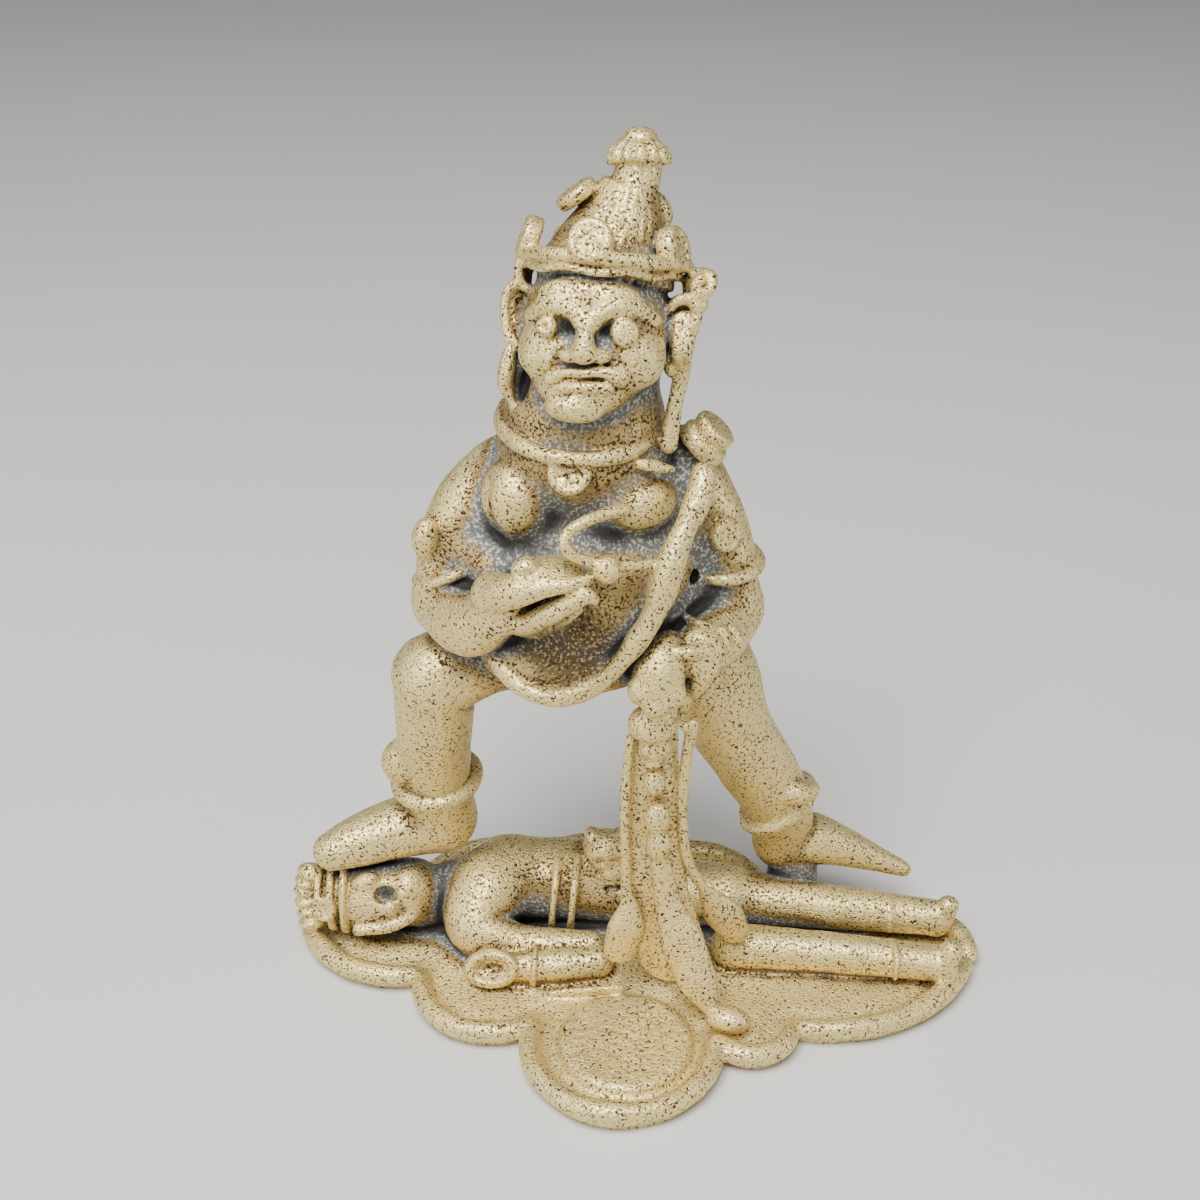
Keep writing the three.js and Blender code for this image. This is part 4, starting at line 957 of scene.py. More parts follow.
wax.add(rod([(6.0, -6.0, 32.7), (6.4, -6.2, 32.0), (6.3, -6.1, 31.0)], [0.32, 0.4, 0.3]), blend=0.12)
wax.add(rod([(4.3, -7.4, 32.1), (4.1, -7.8, 31.2), (3.8, -7.8, 29.9), (3.5, -7.4, 28.3)], [1.1, 1.05, 0.7, 0.25]), blend=0.15)
wax.add(rod([(0.7, -8.2, 32.6), (1.8, -8.7, 32.7), (2.9, -8.8, 32.7), (4.0, -8.2, 32.5)], [0.34, 0.38, 0.45, 0.6]), blend=0.12)
wax.cut(rod([(4.0, -9.0, 31.4), (3.9, -8.9, 30.3), (3.6, -8.5, 29.2)], [0.12, 0.17, 0.1]), blend=0.15)
outwards = (0.66, -0.05, 0.75)
jewel((5.2, -2.9, 38.4), (0.55, -0.85, 0.2), 1.15, 1.0, hollow=0.12, pricked=True, seed=2)
jewel((3.5, -1.4, 43.9), outwards, 1.75, 1.2, blend=0.12)
jewel((4.3, -1.4, 44.9), outwards, 1.5, 0.95, blend=0.04)
print("left wrist at", wrist)

# %% The fist and the mongoose
wax.add(rod([wrist + (-1.8, -0.6, 0.4), wrist + (-2.3, -1.1, -0.6), wrist + (-2.4, -1.1, -1.6)], [1.6, 1.85, 1.75]), blend=0.2)
for knuckle, size in (((-0.05, -8.7, 29.7), 1.05), ((1.75, -8.9, 29.5), 1.1), ((0.9, -9.0, 28.8), 0.95)):
    wax.add(egg(knuckle, (size, 0.95, size)), blend=0.25)
wax.cut(rod([(-0.9, -9.1, 28.3), (0.9, -9.9, 27.9), (2.5, -9.0, 28.2)], [0.2, 0.28, 0.2]), blend=0.3)
wax.add(egg((0.65, -8.0, 26.5), (1.7, 1.35, 1.35)), egg((1.1, -8.1, 27.6), (1.2, 1.0, 0.9)), blend=0.3)
wax.add(egg((0.9, -7.8, 24.6), (1.15, 1.05, 1.05)), blend=0.15)
wax.cut(egg((0.9, -9.55, 27.2), (0.3, 0.3, 0.22)), egg((1.9, -9.1, 26.6), (0.22, 0.3, 0.22)), blend=0.15)
wax.add(rod([wrist + (-2.5, -0.6, -5.2), wrist + (-2.45, -0.7, -8)], [1.0, 0.7]), blend=0.2)
wax.add(rod([(2.2, -7.6, 26.7), (2.8, -7.9, 26.2), (3.4, -7.9, 26.5)], [0.3, 0.3, 0.32]), blend=0.15)
print("the mongoose hangs at", (0.65, -8.0, 26.5))

# %% The sash, the cord under the belly and the ribbon at the chest
across = [(4.0, -4.2, 44.2), (3.4, -5.9, 42.5), (2.2, -7.5, 40.3), (1.4, -8.4, 38.3), (1.0, -8.6, 36.7), (0.4, -8.7, 35.1)]
below = [(-0.4, -8.6, 33.6), (-1.3, -8.4, 32.0), (-2.5, -8.2, 30.4), (-3.9, -8.3, 29.5), (-5.5, -8.4, 29.0), (-7.2, -8.2, 29.1)]
ending = [(-8.7, -7.5, 29.7), (-9.8, -6.6, 30.7), (-10.3, -5.9, 31.7)]
thick = (0.86, 0.88, 0.93, 0.98, 1.02, 0.94, 0.78, 0.68, 0.68, 0.72, 0.74, 0.74, 0.7, 0.6, 0.5)
wax.add(band(across + below + ending, 1.0, thickness=thick, uneven=0.35, seed=16), blend=0.2)
ribbon = [(-1.4, -6.9, 42.2), (-2.5, -7.7, 42.3), (-3.6, -8.5, 42.25), (-4.7, -9.1, 41.9), (-5.15, -9.6, 41.4), (-4.95, -9.8, 40.8), (-4.3, -9.8, 40.3), (-3.4, -9.7, 39.9), (-2.6, -9.6, 39.6)]
wax.add(rod(ribbon, [0.5, 0.42, 0.4, 0.38, 0.4, 0.4, 0.36, 0.34, 0.3]), blend=0.2)
wax.add(egg((-2.45, -9.6, 39.35), 0.9), blend=0.08)
wax.add(rod([(-2.0, -9.4, 39.4), (-0.9, -9.0, 39.3), (0.4, -8.3, 39.0)], [0.3, 0.28, 0.35]), blend=0.1)
wax.cut(egg((-0.7, -8.3, 37.4), (0.7, 0.9, 1.2)), blend=0.3)
jewel(neck + (-1.1, -5.1, -4.2), (-0.05, -1, 0.5), 1.4, 1.1, hollow=0.1, pricked=True, seed=3)
print("the body is dressed")

# %% [markdown]
# ## The jewels
# Three strands fall from the mongoose's mouth on a thin web of metal that held them together in the mould. They
# end in leaves, and the middle one is a row of beads.

# %% The web and the strands
FRONTWARDS = (0, 1, 0.1)
STRAND = 0.42  # radius of a strand
wax.add(rod([(1.0, -6.4, 25), (0.9, -6.3, 18), (1.4, -6.3, 11), (2.6, -6.3, 4.5)], [1.5, 2.0, 2.2, 2.6], 0.22, FRONTWARDS), blend=0.3)
wax.add(band([(-0.75, -6.9, 25.0), (-1.1, -7.1, 20), (-0.95, -7.0, 12), (-0.9, -7.0, 8.0)], STRAND, seed=17), blend=0.2)
wax.add(rod([(-0.75, -7.2, 10.4), (-0.95, -7.4, 8.0), (-1.4, -7.4, 6.0)], [0.5, 1.5, 1.2], 0.55), blend=0.2)
for x, z, wide, tall in ((0.75, 23.2, 0.7, 0.6), (0.9, 21.4, 0.8, 1.1), (1.1, 18.2, 0.95, 1.35), (1.25, 15.9, 0.95, 1.4)):
    wax.add(egg((x, -7.5, z), (wide, 0.85, tall)), blend=0.08)
leaf = [(1.4, -7.3, 14.2), (1.7, -7.4, 12.6), (2.1, -7.5, 10.4), (3.1, -8.2, 7.6), (4.3, -9.3, 4.6), (5.2, -10.2, 2.8)]
wax.add(rod(leaf, [0.7, 0.8, 0.95, 1.55, 1.5, 0.6], 0.55), blend=0.2)
wax.add(egg((6.5, -10.8, 2.3), (1.7, 1.1, 1.0), turn=(0, 0, -15)), blend=0.15)
wax.add(band([(3.4, -7.9, 26.6), (3.2, -7.5, 24.5), (2.9, -7.0, 20), (3.3, -6.8, 14.4), (5.0, -6.1, 10)], STRAND, seed=18), blend=0.2)
wax.add(rod([(4.9, -6.2, 10.4), (6.2, -5.7, 8.0), (7.3, -5.3, 5.8)], [0.6, 1.45, 1.1], 0.55), blend=0.2)
print("strands: 3")

# %% [markdown]
# ## The head
# The face is a guardian's mask, not a person's: button eyes under one heavy brow, a broad nose and a mouth drawn
# down. The head is built upright about its own middle and then set on the neck, leaning back and turned a little.

# %% Where the head stands
HEAD = (-3.0, -1.2, 52.3)
on_neck = shift(HEAD) @ rotation("y", 5) @ rotation("x", -19) @ rotation("z", -8)
on_crown = on_neck @ shift((0, 0, 3)) @ rotation("y", 11) @ shift((0, 0, -3))


def mirrored(point):
    return np.array(point) * (-1, 1, 1)


# %% The skull and the face
wax.add(egg((0, 0, 0.2), (4.7, 4.9, 4.9), on=on_neck), blend=0.5)
wax.add([egg((side * 2.2, -2.5, -1.4), (2.4, 2.4, 2.3), on=on_neck) for side in (-1, 1)], blend=0.6)
wax.add(egg((-0.3, -2.3, -3.2), (3.2, 2.6, 2.2), on=on_neck), blend=0.6)
wax.add(egg((-0.4, -3.2, -3.8), (2.4, 2.0, 1.6), on=on_neck), blend=0.5)
wax.add(egg((-0.2, -4.0, 1.9), (3.2, 1.0, 1.2), on=on_neck), blend=0.6)
wax.cut(egg((-1.55, -5.3, -0.15), (1.2, 0.95, 0.8), on=on_neck), egg((1.35, -5.4, -0.05), (1.25, 0.95, 0.8), on=on_neck), blend=0.3)
left_brow = [(-3.9, -3.2, 0.5), (-3.1, -4.0, 1.0), (-1.9, -4.65, 1.2), (-0.9, -4.95, 0.95), (-0.5, -5.1, 0.3)]
right_brow = [(3.9, -3.1, 0.8), (2.9, -4.0, 1.35), (1.6, -4.7, 1.4), (0.6, -4.95, 1.0), (0.2, -5.1, 0.3)]
wax.add(rod(left_brow, [0.4, 0.6, 0.62, 0.62, 0.5], on=on_neck), rod(right_brow, [0.4, 0.6, 0.62, 0.62, 0.5], on=on_neck), blend=0.5)
wax.add(rod([(-0.2, -4.95, 0.7), (-0.2, -5.35, -0.4), (-0.15, -5.75, -1.3)], [0.6, 0.5, 0.75], on=on_neck), blend=0.2)
wax.add(egg((-0.15, -5.7, -1.55), (0.85, 0.75, 0.62), on=on_neck), blend=0.2)
wax.add(egg((-1.05, -5.3, -1.7), (0.68, 0.62, 0.48), on=on_neck), egg((0.85, -5.3, -1.55), (0.7, 0.62, 0.48), on=on_neck), blend=0.18)
wax.add(egg((-3.35, -3.4, -2.0), (1.0, 1.05, 1.0), on=on_neck), egg((3.1, -3.2, -1.8), (1.3, 1.2, 1.4), on=on_neck), blend=0.4)
lip = [(-2.1, -4.7, -3.2), (-1.4, -5.15, -2.8), (-0.1, -5.4, -2.7), (1.1, -5.2, -2.5), (2.15, -4.75, -2.7)]
wax.add(rod(lip, [0.46, 0.3, 0.3, 0.36, 0.55], on=on_neck), blend=0.12)
wax.add(rod([(-1.3, -4.95, -3.75), (0, -5.2, -3.5), (1.35, -4.85, -3.5)], [0.26, 0.3, 0.4], on=on_neck), blend=0.1)
wax.add(egg((-0.65, -4.15, -4.9), (1.85, 1.1, 0.95), on=on_neck), blend=0.18)
for place, size, deep in (((-2.45, -4.25, -0.15), 0.68, 0.22), ((2.05, -4.3, -0.1), 0.84, 0.13)):
    spot = aimed(place, (place[0] * 0.12, -1, 0.1), on_neck)
    wax.add(coin(size, 1.0, edge=0.3, on=spot), blend=0.08)
    wax.cut(egg((0, 0, 1.05), (deep, deep, 0.3), on=spot), blend=0.05)
wax.cut(rod([(-1.8, -5.0, -2.15), (-1.0, -5.55, -2.3), (-0.1, -5.75, -2.35), (0.8, -5.55, -2.2), (1.6, -5.0, -2.0)], [0.13], on=on_neck), blend=0.1)
wax.cut(rod([(-2.2, -4.7, -4.1), (-1.5, -5.15, -3.35), (-0.1, -5.5, -3.1), (1.4, -5.1, -3.0), (2.1, -4.7, -3.8)], [0.15], on=on_neck), blend=0.1)
wax.cut(rod([(-1.9, -4.8, -4.3), (0, -5.25, -4.0), (1.6, -4.75, -4.1)], [0.18], on=on_neck), blend=0.1)
wax.cut(rod([(-1.7, -5.1, -1.5), (-2.2, -4.9, -2.0), (-2.7, -4.5, -2.9)], [0.15], on=on_neck), blend=0.12)
wax.cut(rod([(1.7, -5.0, -1.5), (2.6, -4.6, -2.3), (3.0, -3.9, -3.3)], [0.13], on=on_neck), blend=0.2)
wax.add(rod([(-2.9, -4.3, -1.4), (-2.35, -4.75, -1.9), (-2.5, -4.7, -2.5)], [0.22], on=on_neck), blend=0.08)
print("head at", HEAD)

# %% The ears and the long pendant
wax.add([egg((side * 4.8, 0.4, -0.2), (0.75, 1.2, 2.6), on=on_neck) for side in (-1, 1)], blend=0.3)
wax.add(egg((-5.2, 0.5, 0.4), (0.9, 1.1, 2.1), on=on_neck), egg((5.4, 0.3, 0.4), (0.8, 1.1, 1.8), on=on_neck), blend=0.3)
wax.add(egg((-5.0, 0.5, -3.5), (1.0, 1.0, 2.2), on=on_neck), blend=0.3)
arch = [(-4.5, -0.8, 2.0), (-5.2, -0.9, 2.35), (-5.85, -0.9, 1.7), (-5.9, -0.9, 0.4), (-5.5, -0.9, -1.1), (-4.9, -0.8, -1.6)]
wax.add(rod(arch, [0.34, 0.38, 0.36, 0.32, 0.36, 0.42], on=on_neck), blend=0.12)
wax.add(egg((-5.5, -1.0, -3.2), (0.58, 0.75, 1.55), turn=(0, 4, 0), on=on_neck), blend=0.12)
wax.add(rod([(-5.2, -0.8, -4.3), (-4.7, -0.4, -5.6), (-4.1, 0.3, -6.8)], [0.45, 0.4, 0.6], on=on_neck), blend=0.2)
wax.cut(egg((-5.15, -1.1, 0.8), (0.42, 1.1, 0.95), on=on_neck), blend=0.12)
wax.cut(egg((-4.4, -1.3, -3.9), (0.62, 1.5, 1.5), turn=(0, 10, 0), on=on_neck), blend=0.2)
arch = [(4.5, -1.3, 1.5), (5.0, -1.4, 2.1), (5.7, -1.3, 2.2), (6.2, -1.1, 1.5), (6.0, -1.0, 0.4)]
wax.add(rod(arch, [0.36, 0.4, 0.42, 0.38, 0.42], on=on_neck), blend=0.12)
strap = [carried((5.35, -0.8, 0.7), on_neck), carried((5.5, -1.1, -1.0), on_neck), (2.35, -2.2, 49.8), (1.85, -2.9, 47.4), (1.5, -3.6, 45.2)]
wax.add(rod(strap, [0.95, 0.75, 0.55, 0.5, 0.62], 0.7), blend=0.15)
wax.cut(rod([point + np.array((0.05, -0.8, 0.1)) for point in strap[:-1]], [0.22, 0.25, 0.22, 0.2]), blend=0.2)
wax.cut(egg((5.3, -1.7, 1.2), (0.36, 0.5, 0.42), on=on_neck), blend=0.12)
print("ears and pendant")

# %% [markdown]
# ## The crown and the hair
# Two bands with round jewels stand round a cone of hair. The cone is a core with a ring of locks on it, and the
# bud at the tip is a ring of petals under a dome.


# %% The bands, the jewels and the hair
def around_head(radius, height, azimuth):
    """A point on a level circle round the head, with 0 degrees at the front and 90 at the figure's left."""
    turn = math.radians(azimuth)
    return np.array([radius * math.sin(turn), -radius * math.cos(turn), height])


wax.add(coin(4.85, 1.5, edge=0.5, on=on_neck @ shift((0, 0, 3.2))), blend=0.3)
wave = [point + (0, 0, 0.12 * math.sin(3 * turn)) for turn, point in enumerate(around((0, 0.1, 3.45), (4.95, 0, 0), (0, 4.95, 0), count=16))]
wax.add(band(wave, 0.26, closed=True, uneven=0.25, seed=19, on=on_neck), blend=0.1)
wax.add(band(around((0.15, 0.1, 4.25), (5.1, 0, 0), (0, 5.15, 0)), 0.45, closed=True, uneven=0.2, seed=20, on=on_neck), blend=0.12)
swirl = [(6.2, 0.4, 3.9), (6.9, -0.4, 3.7), (6.9, -0.9, 2.9), (6.3, -1.2, 2.6), (5.9, -1.2, 3.1), (6.3, -1.2, 3.5)]
wax.add(egg((6.0, 0, 3.0), (0.9, 1.1, 1.2), on=on_neck), blend=0.2)
wax.add(rod(swirl, [0.35], on=on_neck), egg((6.3, -0.8, 1.95), (0.6, 0.6, 0.5), on=on_neck), blend=0.1)
wax.add(egg((-5.1, 0.3, 2.9), (0.6, 1.1, 1.2), on=on_neck), blend=0.2)
wax.add(rod([(-4.7, -1.3, 4.5), (-5.2, -1.2, 3.5), (-5.1, -1.0, 2.5)], [0.34], on=on_neck), blend=0.12)
core = [(0, 0, 3), (0.1, 0, 5), (0.3, 0, 7), (0.35, 0, 8.5), (0.45, 0, 10.2)]
wax.add(rod(core, [4.1, 3.3, 2.35, 1.6, 1.4], on=on_crown), blend=0.3)
lock = [(4.15, 0, 3.4), (3.4, 0.25, 5.1), (2.45, 0.4, 7.0), (1.55, 0.3, 9.2)]
wax.add(ring_of(lock, 34, 0.3, (1.2, 1.1, 0.9, 0.6), uneven=0.16, seed=3, on=on_crown @ shift((0.2, 0, 0))), blend=0.1)
for number in range(5):
    azimuth = -4 + number * 72
    front = abs(azimuth - 180) > 90
    jewel(around_head(4.2, 5.0, azimuth), around_head(1, 0.28, azimuth), 1.42, 1.25, hollow=0.12 * front, pricked=front, seed=number, on=on_neck)
for centre, aim in (((-2.5, -0.6, 7.3), (-0.9, -0.25, 0.75)), ((2.75, -0.8, 8.5), (0.75, -0.5, 0.6)), ((1.6, 1.6, 7.6), (0.5, 0.9, 0.6)), ((-1.4, 1.7, 7.4), (-0.5, 0.9, 0.6))):
    jewel(centre, aim, 1.42, 0.95, hollow=0.1, on=on_crown)
print("jewels on the crown: 5 and 4")

# %% The bud on the tip
PETALS = 13
on_tip = on_crown @ shift((0.45, 0, 10.0)) @ rotation("y", -14)
petal = [(0.7, 0, 1.85), (1.3, 0, 1.45), (1.68, 0, 0.9), (1.66, 0, 0.4)]
wax.add(rod([(0, 0, -0.3), (0, 0, 1.2)], [1.35, 1.3], on=on_tip), blend=0.3)
wax.add(ring_of(petal, PETALS, 0.4, (0.6, 0.9, 1.1, 0.95), uneven=0.02, on=on_tip), blend=0.02)
wax.add(egg((0, 0, 1.95), (1.08, 1.08, 0.72), on=on_tip), blend=0.03)
print("petals:", PETALS)

# %% [markdown]
# ## From wax to brass
# Before the mesh is taken, the wax gets the slight waviness of handwork, and what hangs below the ground is cut
# off flat. The mesh is the surface where the distance is zero. It is thinned to fewer than 200,000 triangles,
# which costs nothing to see because the flat places go first.


# %% Handwork waviness and the flat underside
def wavy(spacing, seed):
    """Smooth random values for every cell, from a lattice with the spacing in millimetres."""
    dice = np.random.default_rng(seed)
    weights = []
    for count in wax.count:
        knots = int(count * CELL / spacing) + 4
        place = np.arange(count) * CELL / spacing
        whole = np.floor(place).astype(int)
        t = place - whole
        row = np.zeros((count, knots), np.float32)
        cubic = [(1 - t) ** 3 / 6, (3 * t**3 - 6 * t**2 + 4) / 6, (-3 * t**3 + 3 * t**2 + 3 * t + 1) / 6, t**3 / 6]
        for k, weight in enumerate(cubic):
            row[np.arange(count), whole + k] = weight
        weights.append(row)
    lattice = dice.standard_normal([row.shape[1] for row in weights]).astype(np.float32)
    lattice = np.tensordot(weights[0], lattice, axes=(1, 0))
    lattice = np.tensordot(lattice, weights[1], axes=(1, 1)).transpose(0, 2, 1)
    return lattice @ weights[2].T


for spacing, amount, seed in ((2.2, 0.07, 1), (0.9, 0.05, 2)):
    wax.field += amount * wavy(spacing, seed)
height = wax.low[2] + CELL * np.arange(wax.count[2], dtype=np.float32)
wax.field = np.maximum(wax.field, -height[None, None, :])
print("inside cells:", int((wax.field < 0).sum()))

# %% Take the surface as a mesh
grid = vdb.FloatGrid(background=3 * CELL)
grid.copyFromArray(np.clip(wax.field, -3 * CELL, 3 * CELL))
corners, quads = grid.convertToQuads(isovalue=0)
corners = wax.low + corners * CELL


def largest_shell(corners, quads):
    """Keeps the biggest connected piece, so no crumb floats beside the casting."""
    label = np.arange(len(corners))
    edges = np.vstack([quads[:, [0, 1]], quads[:, [1, 2]], quads[:, [2, 3]]])
    while True:
        least = np.minimum(label[edges[:, 0]], label[edges[:, 1]])
        before = label.copy()
        np.minimum.at(label, edges[:, 0], least)
        np.minimum.at(label, edges[:, 1], least)
        label = label[label]
        if (label == before).all():
            break
    names, sizes = np.unique(label, return_counts=True)
    keep = label == names[sizes.argmax()]
    number = np.cumsum(keep) - 1
    return corners[keep], number[quads[keep[quads[:, 0]]]], len(names) - 1


corners, quads, crumbs = largest_shell(corners, quads)
mesh = bpy.data.meshes.new("brass_casting")
mesh.vertices.add(len(corners))
mesh.vertices.foreach_set("co", (corners * MM).astype(np.float32).ravel())
mesh.loops.add(quads.size)
mesh.loops.foreach_set("vertex_index", quads.ravel().astype(np.int32))
mesh.polygons.add(len(quads))
mesh.polygons.foreach_set("loop_start", np.arange(0, quads.size, 4, dtype=np.int32))
mesh.update(calc_edges=True)
mesh.validate()
casting = bpy.data.objects.new("brass_casting", mesh)
bpy.context.scene.collection.objects.link(casting)
print("quads:", len(quads), "crumbs left out:", crumbs)

# %% Thin the mesh
TRIANGLES = 195000  # most triangles of the casting


def applied(piece):
    """Replaces a piece's mesh by what its modifiers make of it."""
    result = bpy.data.meshes.new_from_object(piece.evaluated_get(bpy.context.evaluated_depsgraph_get()))
    piece.modifiers.clear()
    old, piece.data = piece.data, result
    bpy.data.meshes.remove(old)
    return result


thin = casting.modifiers.new("thin", "DECIMATE")
thin.ratio = min(1.0, TRIANGLES / (2 * len(quads)))
mesh = applied(casting)
mesh.shade_smooth()
mesh.calc_loop_triangles()
print("triangles:", len(mesh.loop_triangles))

# %% [markdown]
# ## Where brass is worn and where it is dark
# Old brass is rubbed bright on what stands out and keeps its dark skin in the hollows. How much metal lies within
# a small ball round a point says which it is: half on a flat place, more in a hollow, less on an edge. The block
# of cells is blurred at three widths, and the values are kept at the corners of the mesh for the finish to read.


# %% Measure hollows and edges at three widths
def blurred(block, cells):
    """A box blur along each axis, done twice so that it is nearly round."""
    for axis in (0, 1, 2) * 2:
        total = np.cumsum(np.pad(block, [(cells + 1, cells) if k == axis else (0, 0) for k in range(3)]), axis=axis, dtype=np.float32)
        width = 2 * cells + 1
        ahead = np.take(total, range(width, total.shape[axis]), axis=axis)
        behind = np.take(total, range(0, total.shape[axis] - width), axis=axis)
        block = (ahead - behind) / width
    return block


def sampled(block, places):
    """The value of a block of cells at places in cells, mixed from the eight round each."""
    whole = np.clip(np.floor(places).astype(int), 0, np.array(block.shape) - 2)
    part = places - whole
    value = 0
    for corner in np.ndindex(2, 2, 2):
        weight = np.prod(np.where(corner, part, 1 - part), axis=1)
        value = value + weight * block[tuple((whole + corner).T)]
    return value


metal = np.clip(0.5 - wax.field / (2 * CELL), 0, 1)
metal = metal[: metal.shape[0] // 2 * 2, : metal.shape[1] // 2 * 2, : metal.shape[2] // 2 * 2]
metal = metal.reshape(metal.shape[0] // 2, 2, metal.shape[1] // 2, 2, metal.shape[2] // 2, 2).mean(axis=(1, 3, 5))
spots = np.empty(len(mesh.vertices) * 3, np.float32)
mesh.vertices.foreach_get("co", spots)
spots = (spots.reshape(-1, 3) / MM - wax.low) / CELL / 2 - 0.25
for name, cells in (("crease", 1), ("hollow", 4), ("depth", 10)):
    share = sampled(blurred(metal, cells), spots)
    mesh.attributes.new(name, "FLOAT", "POINT").data.foreach_set("value", share.astype(np.float32))
    print(name, "from", round(float(share.min()), 2), "to", round(float(share.max()), 2), "mean", round(float(share.mean()), 2))

# %% [markdown]
# ## The finish
# The brass is pale and a little greasy where it is rubbed, brown with fine dark pits where it is not, and grey
# with pale grain in the hollows. All of it is one material: the measured values choose between three colours,
# and noise in millimetre sizes breaks them up. The same noise feeds the roughness and a bump, so that the
# pits catch the light as real ones do.
# The deepest hollows are painted near black as shade, and the belly under the hand darker as shadow and dirt.

# %% The antique brass
brass.use_nodes = True
brass.node_tree.nodes.clear()
tree = Tree(brass.node_tree)
here = tree.add("ShaderNodeTexCoord", {})["Object"]


def value_of(name):
    return tree.add("ShaderNodeAttribute", {"attribute_name": name})["Fac"]


def grain(per_mm, detail=2.0, rough=0.5, warp=0.0):
    """Noise with so many blotches to the millimetre."""
    links = {"Vector": here, "Scale": per_mm * 1000, "Detail": detail, "Roughness": rough, "Distortion": warp}
    return tree.add("ShaderNodeTexNoise", {"noise_dimensions": "3D"}, links=links)["Fac"]


def mixed(share, first, second):
    """One colour turning into another."""
    return tree.add("ShaderNodeMix", {"data_type": "RGBA"}, links={"Factor": share, "A": first, "B": second})["Result"]


RUBBED = (0.80, 0.64, 0.28, 1)
SKIN = (0.42, 0.29, 0.11, 1)
PIT = (0.05, 0.033, 0.016, 1)
GREY = (0.12, 0.122, 0.112, 1)
GRAIN = (0.46, 0.45, 0.38, 1)
# Painted shade: near black for the deepest hollows, where shade falls.
PAINTED_DEEP_SHADE = (0.02, 0.019, 0.017, 1)
# Painted shadow and dirt: a dark brown for the belly under the hand, where shade falls and dirt gathers.
SHADOW_AND_DIRT_COLOUR = (0.06, 0.042, 0.022, 1)


def near(centre, radius):
    """How close the point is to a place in drawn millimetres: 1 inside half the radius, 0 from the radius on."""
    away = tree.add("ShaderNodeVectorMath", {"operation": "DISTANCE"}, here, tuple(np.array(centre) * MM))["Value"]
    return 1 - away.between(0.5 * radius * MM, radius * MM)


crease, hollow, depth = value_of("crease"), value_of("hollow"), value_of("depth")
blotches = grain(0.35, 3.0)
fine = grain(4.5, 2.0, 0.6)
pits = grain(5.0, 2.0, 0.55, 0.2)
sunk = hollow + (depth - 0.5) * 0.9 + (crease - 0.5) * 0.4 + (blotches - 0.5) * 0.12 + (fine - 0.5) * 0.08
shade = sunk.between(0.46, 0.60)
# Painted shade: the deepest hollows and creases are turned near black in the colour.
dark = (sunk + (crease - 0.5) * 0.5).between(0.64, 0.84)
# Painted shadow and dirt: the belly under the hand is darkened in the colour, for its shade as well as its dirt.
under_hand_shadow_and_dirt = near((-5.2, -8.0, 33.0), 4.4) * 0.85
rubbed = 1 - (sunk + (crease - 0.5) * 0.5).between(0.28, 0.47)
pitted_here = 1 - (pits + 0.06 * rubbed - 0.10 * (blotches - 0.5)).between(0.42, 0.50)
colour = mixed(rubbed, SKIN, RUBBED)
colour = mixed(pitted_here * (1 - shade), colour, PIT)
colour = mixed(shade, colour, mixed(fine.between(0.50, 0.62), GREY, GRAIN))
# Painted shadow and dirt on the belly under the hand.
colour = mixed(under_hand_shadow_and_dirt, colour, mixed(fine.between(0.52, 0.64), SHADOW_AND_DIRT_COLOUR, SKIN))
# Painted shade: near black in the deepest hollows.
colour = mixed(dark, colour, PAINTED_DEEP_SHADE)
relief = fine * 0.5 + pits.between(0.36, 0.54) * 1.0 + grain(1.2, 2.0) * 0.8
bump = tree.add("ShaderNodeBump", {}, links={"Strength": 0.5, "Distance": 0.0001, "Height": relief})[0]
shader = tree.add(
    "ShaderNodeBsdfPrincipled",
    {},
    links={
        "Base Color": colour,
        "Metallic": 0.85 - 0.45 * shade,
        "Roughness": (0.46 + 0.2 * shade + 0.15 * pitted_here).limited(),
        "Normal": bump,
    },
)
tree.add("ShaderNodeOutputMaterial", {}, links={"Surface": shader[0]})
casting.data.materials.clear()
casting.data.materials.append(brass)
print("nodes in the finish:", len(brass.node_tree.nodes))

# %% [markdown]
# ## The casting takes the place of the plain solid
# The solid of the frame keeps the weight and the contacts. The casting stands in its place, on the same body.

# %% Hand the casting to the frame
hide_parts("jambhala_statue")
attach(casting, "root")

# %% [markdown]
# ## The studio
# A pale floor runs back until it fills the view. Brass shows mostly what it mirrors, so the light comes from wide
# soft panels: one above and in front, a weaker one at each side, and a pale room all round.

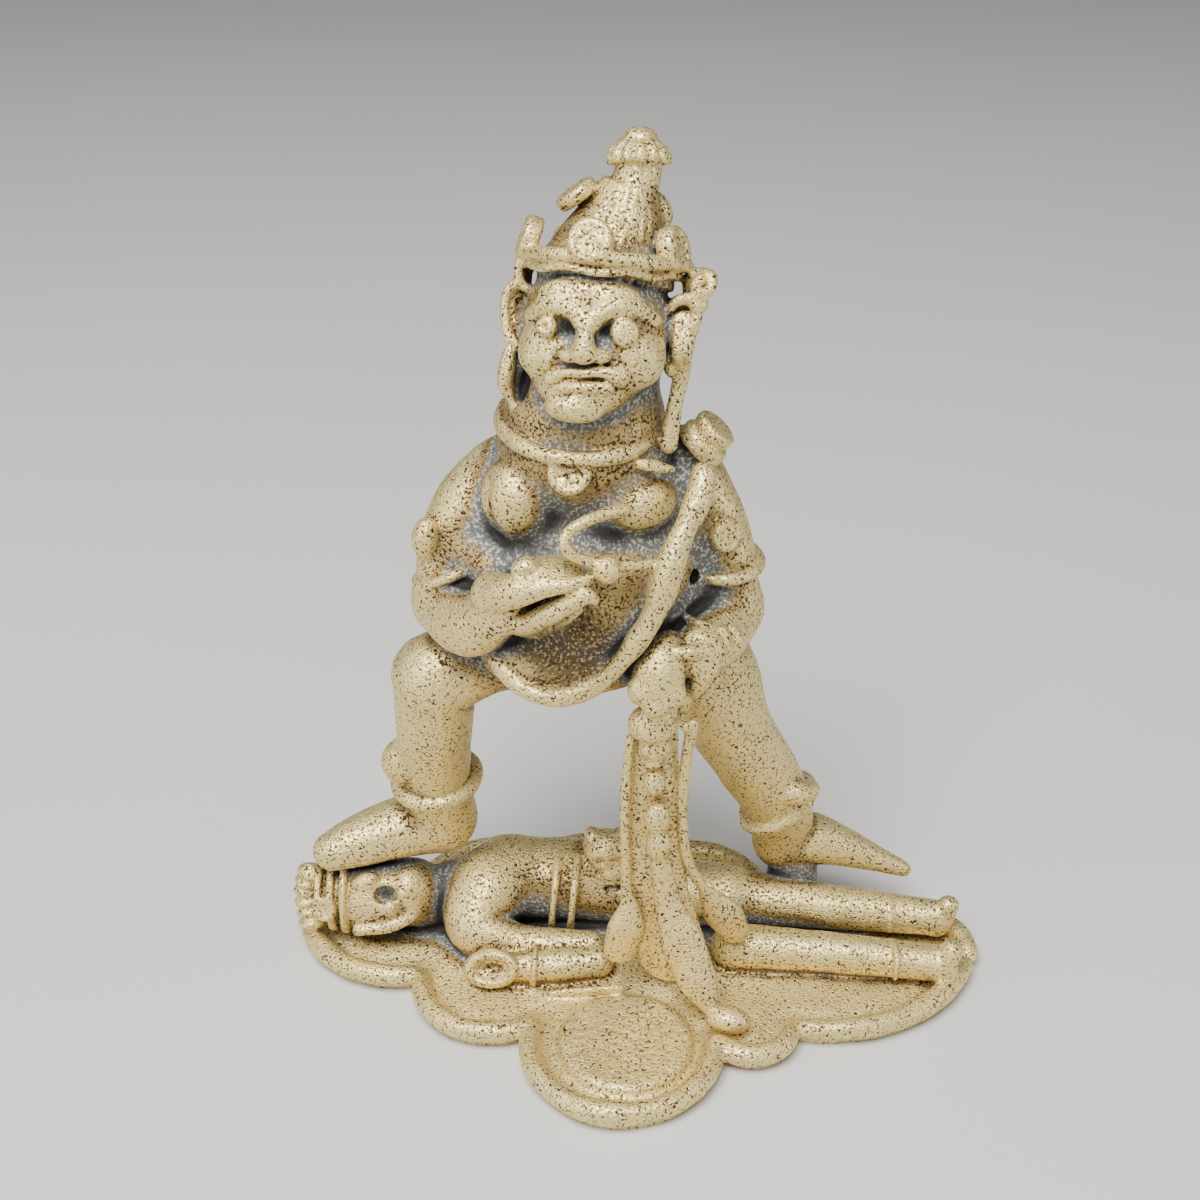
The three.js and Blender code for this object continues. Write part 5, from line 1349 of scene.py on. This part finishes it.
# %% Floor and light
floor_mesh = bpy.data.meshes.new("floor")
floor_mesh.from_pydata([(-3, -3, 0), (3, -3, 0), (3, 3, 0), (-3, 3, 0)], [], [(0, 1, 2, 3)])
floor = bpy.data.objects.new("floor", floor_mesh)
bpy.context.scene.collection.objects.link(floor)
paper = bpy.data.materials.new("pale_paper")
paper.use_nodes = True
tree = Tree(paper.node_tree)
paper.node_tree.nodes.clear()
here = tree.add("ShaderNodeTexCoord", {})["Object"]
cloud = tree.add("ShaderNodeTexNoise", {}, links={"Vector": here, "Scale": 9.0, "Detail": 3.0})["Fac"]
tone = mixed(cloud, (0.56, 0.55, 0.53, 1), (0.62, 0.61, 0.59, 1))
surface = tree.add("ShaderNodeBsdfPrincipled", {}, links={"Base Color": tone, "Roughness": 0.8})
tree.add("ShaderNodeOutputMaterial", {}, links={"Surface": surface[0]})
floor_mesh.materials.append(paper)
floor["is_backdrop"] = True


def panel(name, place, size, power):
    """A soft square light that looks at the middle of the figure."""
    light = bpy.data.lights.new(name, "AREA")
    light.size = size
    light.energy = power
    lamp = bpy.data.objects.new(name, light)
    lamp.matrix_world = matrix_at(place, (0, 0, 0.03))
    bpy.context.scene.collection.objects.link(lamp)


def matrix_at(place, target):
    """A matrix at a place whose -z axis looks at the target."""
    from mathutils import Matrix

    return Matrix(aimed(place, np.subtract(place, target)).tolist())


panel("panel_above", (-0.06, -0.16, 0.36), 0.22, 3.2)
panel("panel_left", (-0.40, -0.20, 0.16), 0.25, 0.8)
panel("panel_right", (0.42, -0.12, 0.14), 0.25, 0.6)
world = bpy.data.worlds.new("room")
bpy.context.scene.world = world
world.use_nodes = True
world.node_tree.nodes["Background"].inputs["Color"].default_value = (0.82, 0.84, 0.86, 1)
world.node_tree.nodes["Background"].inputs["Strength"].default_value = 0.22
print("lights: 3 panels and the room")

# %% [markdown]
# ## The camera
# The photograph looks down at the figure by thirty degrees, from about a hand's length.

# %% The camera
camera = bpy.data.objects.new("camera", bpy.data.cameras.new("camera"))
camera.data.sensor_width = 36
camera.data.lens = 51
camera.location = (-0.0029, -0.1039, 0.0917)
camera.rotation_euler = (math.radians(60), 0, 0)
camera.data.clip_start = 0.01
bpy.context.scene.collection.objects.link(camera)
bpy.context.scene.camera = camera
print("camera at", [round(value, 4) for value in camera.location])

# %% [markdown]
# ## The size of the casting
# The box of the casting is measured beside the box of the plain solid, and how far each face moves is printed.

# %% Measure both boxes
made_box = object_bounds()
sizes = {
    "cad_box": [[float(value) for value in corner] for corner in cad_box],
    "visual_box": [[float(value) for value in corner] for corner in made_box],
}
print("grows by mm:", [[round(1000 * (b - a), 2) for a, b in zip(*pair)] for pair in zip(*sizes.values())])
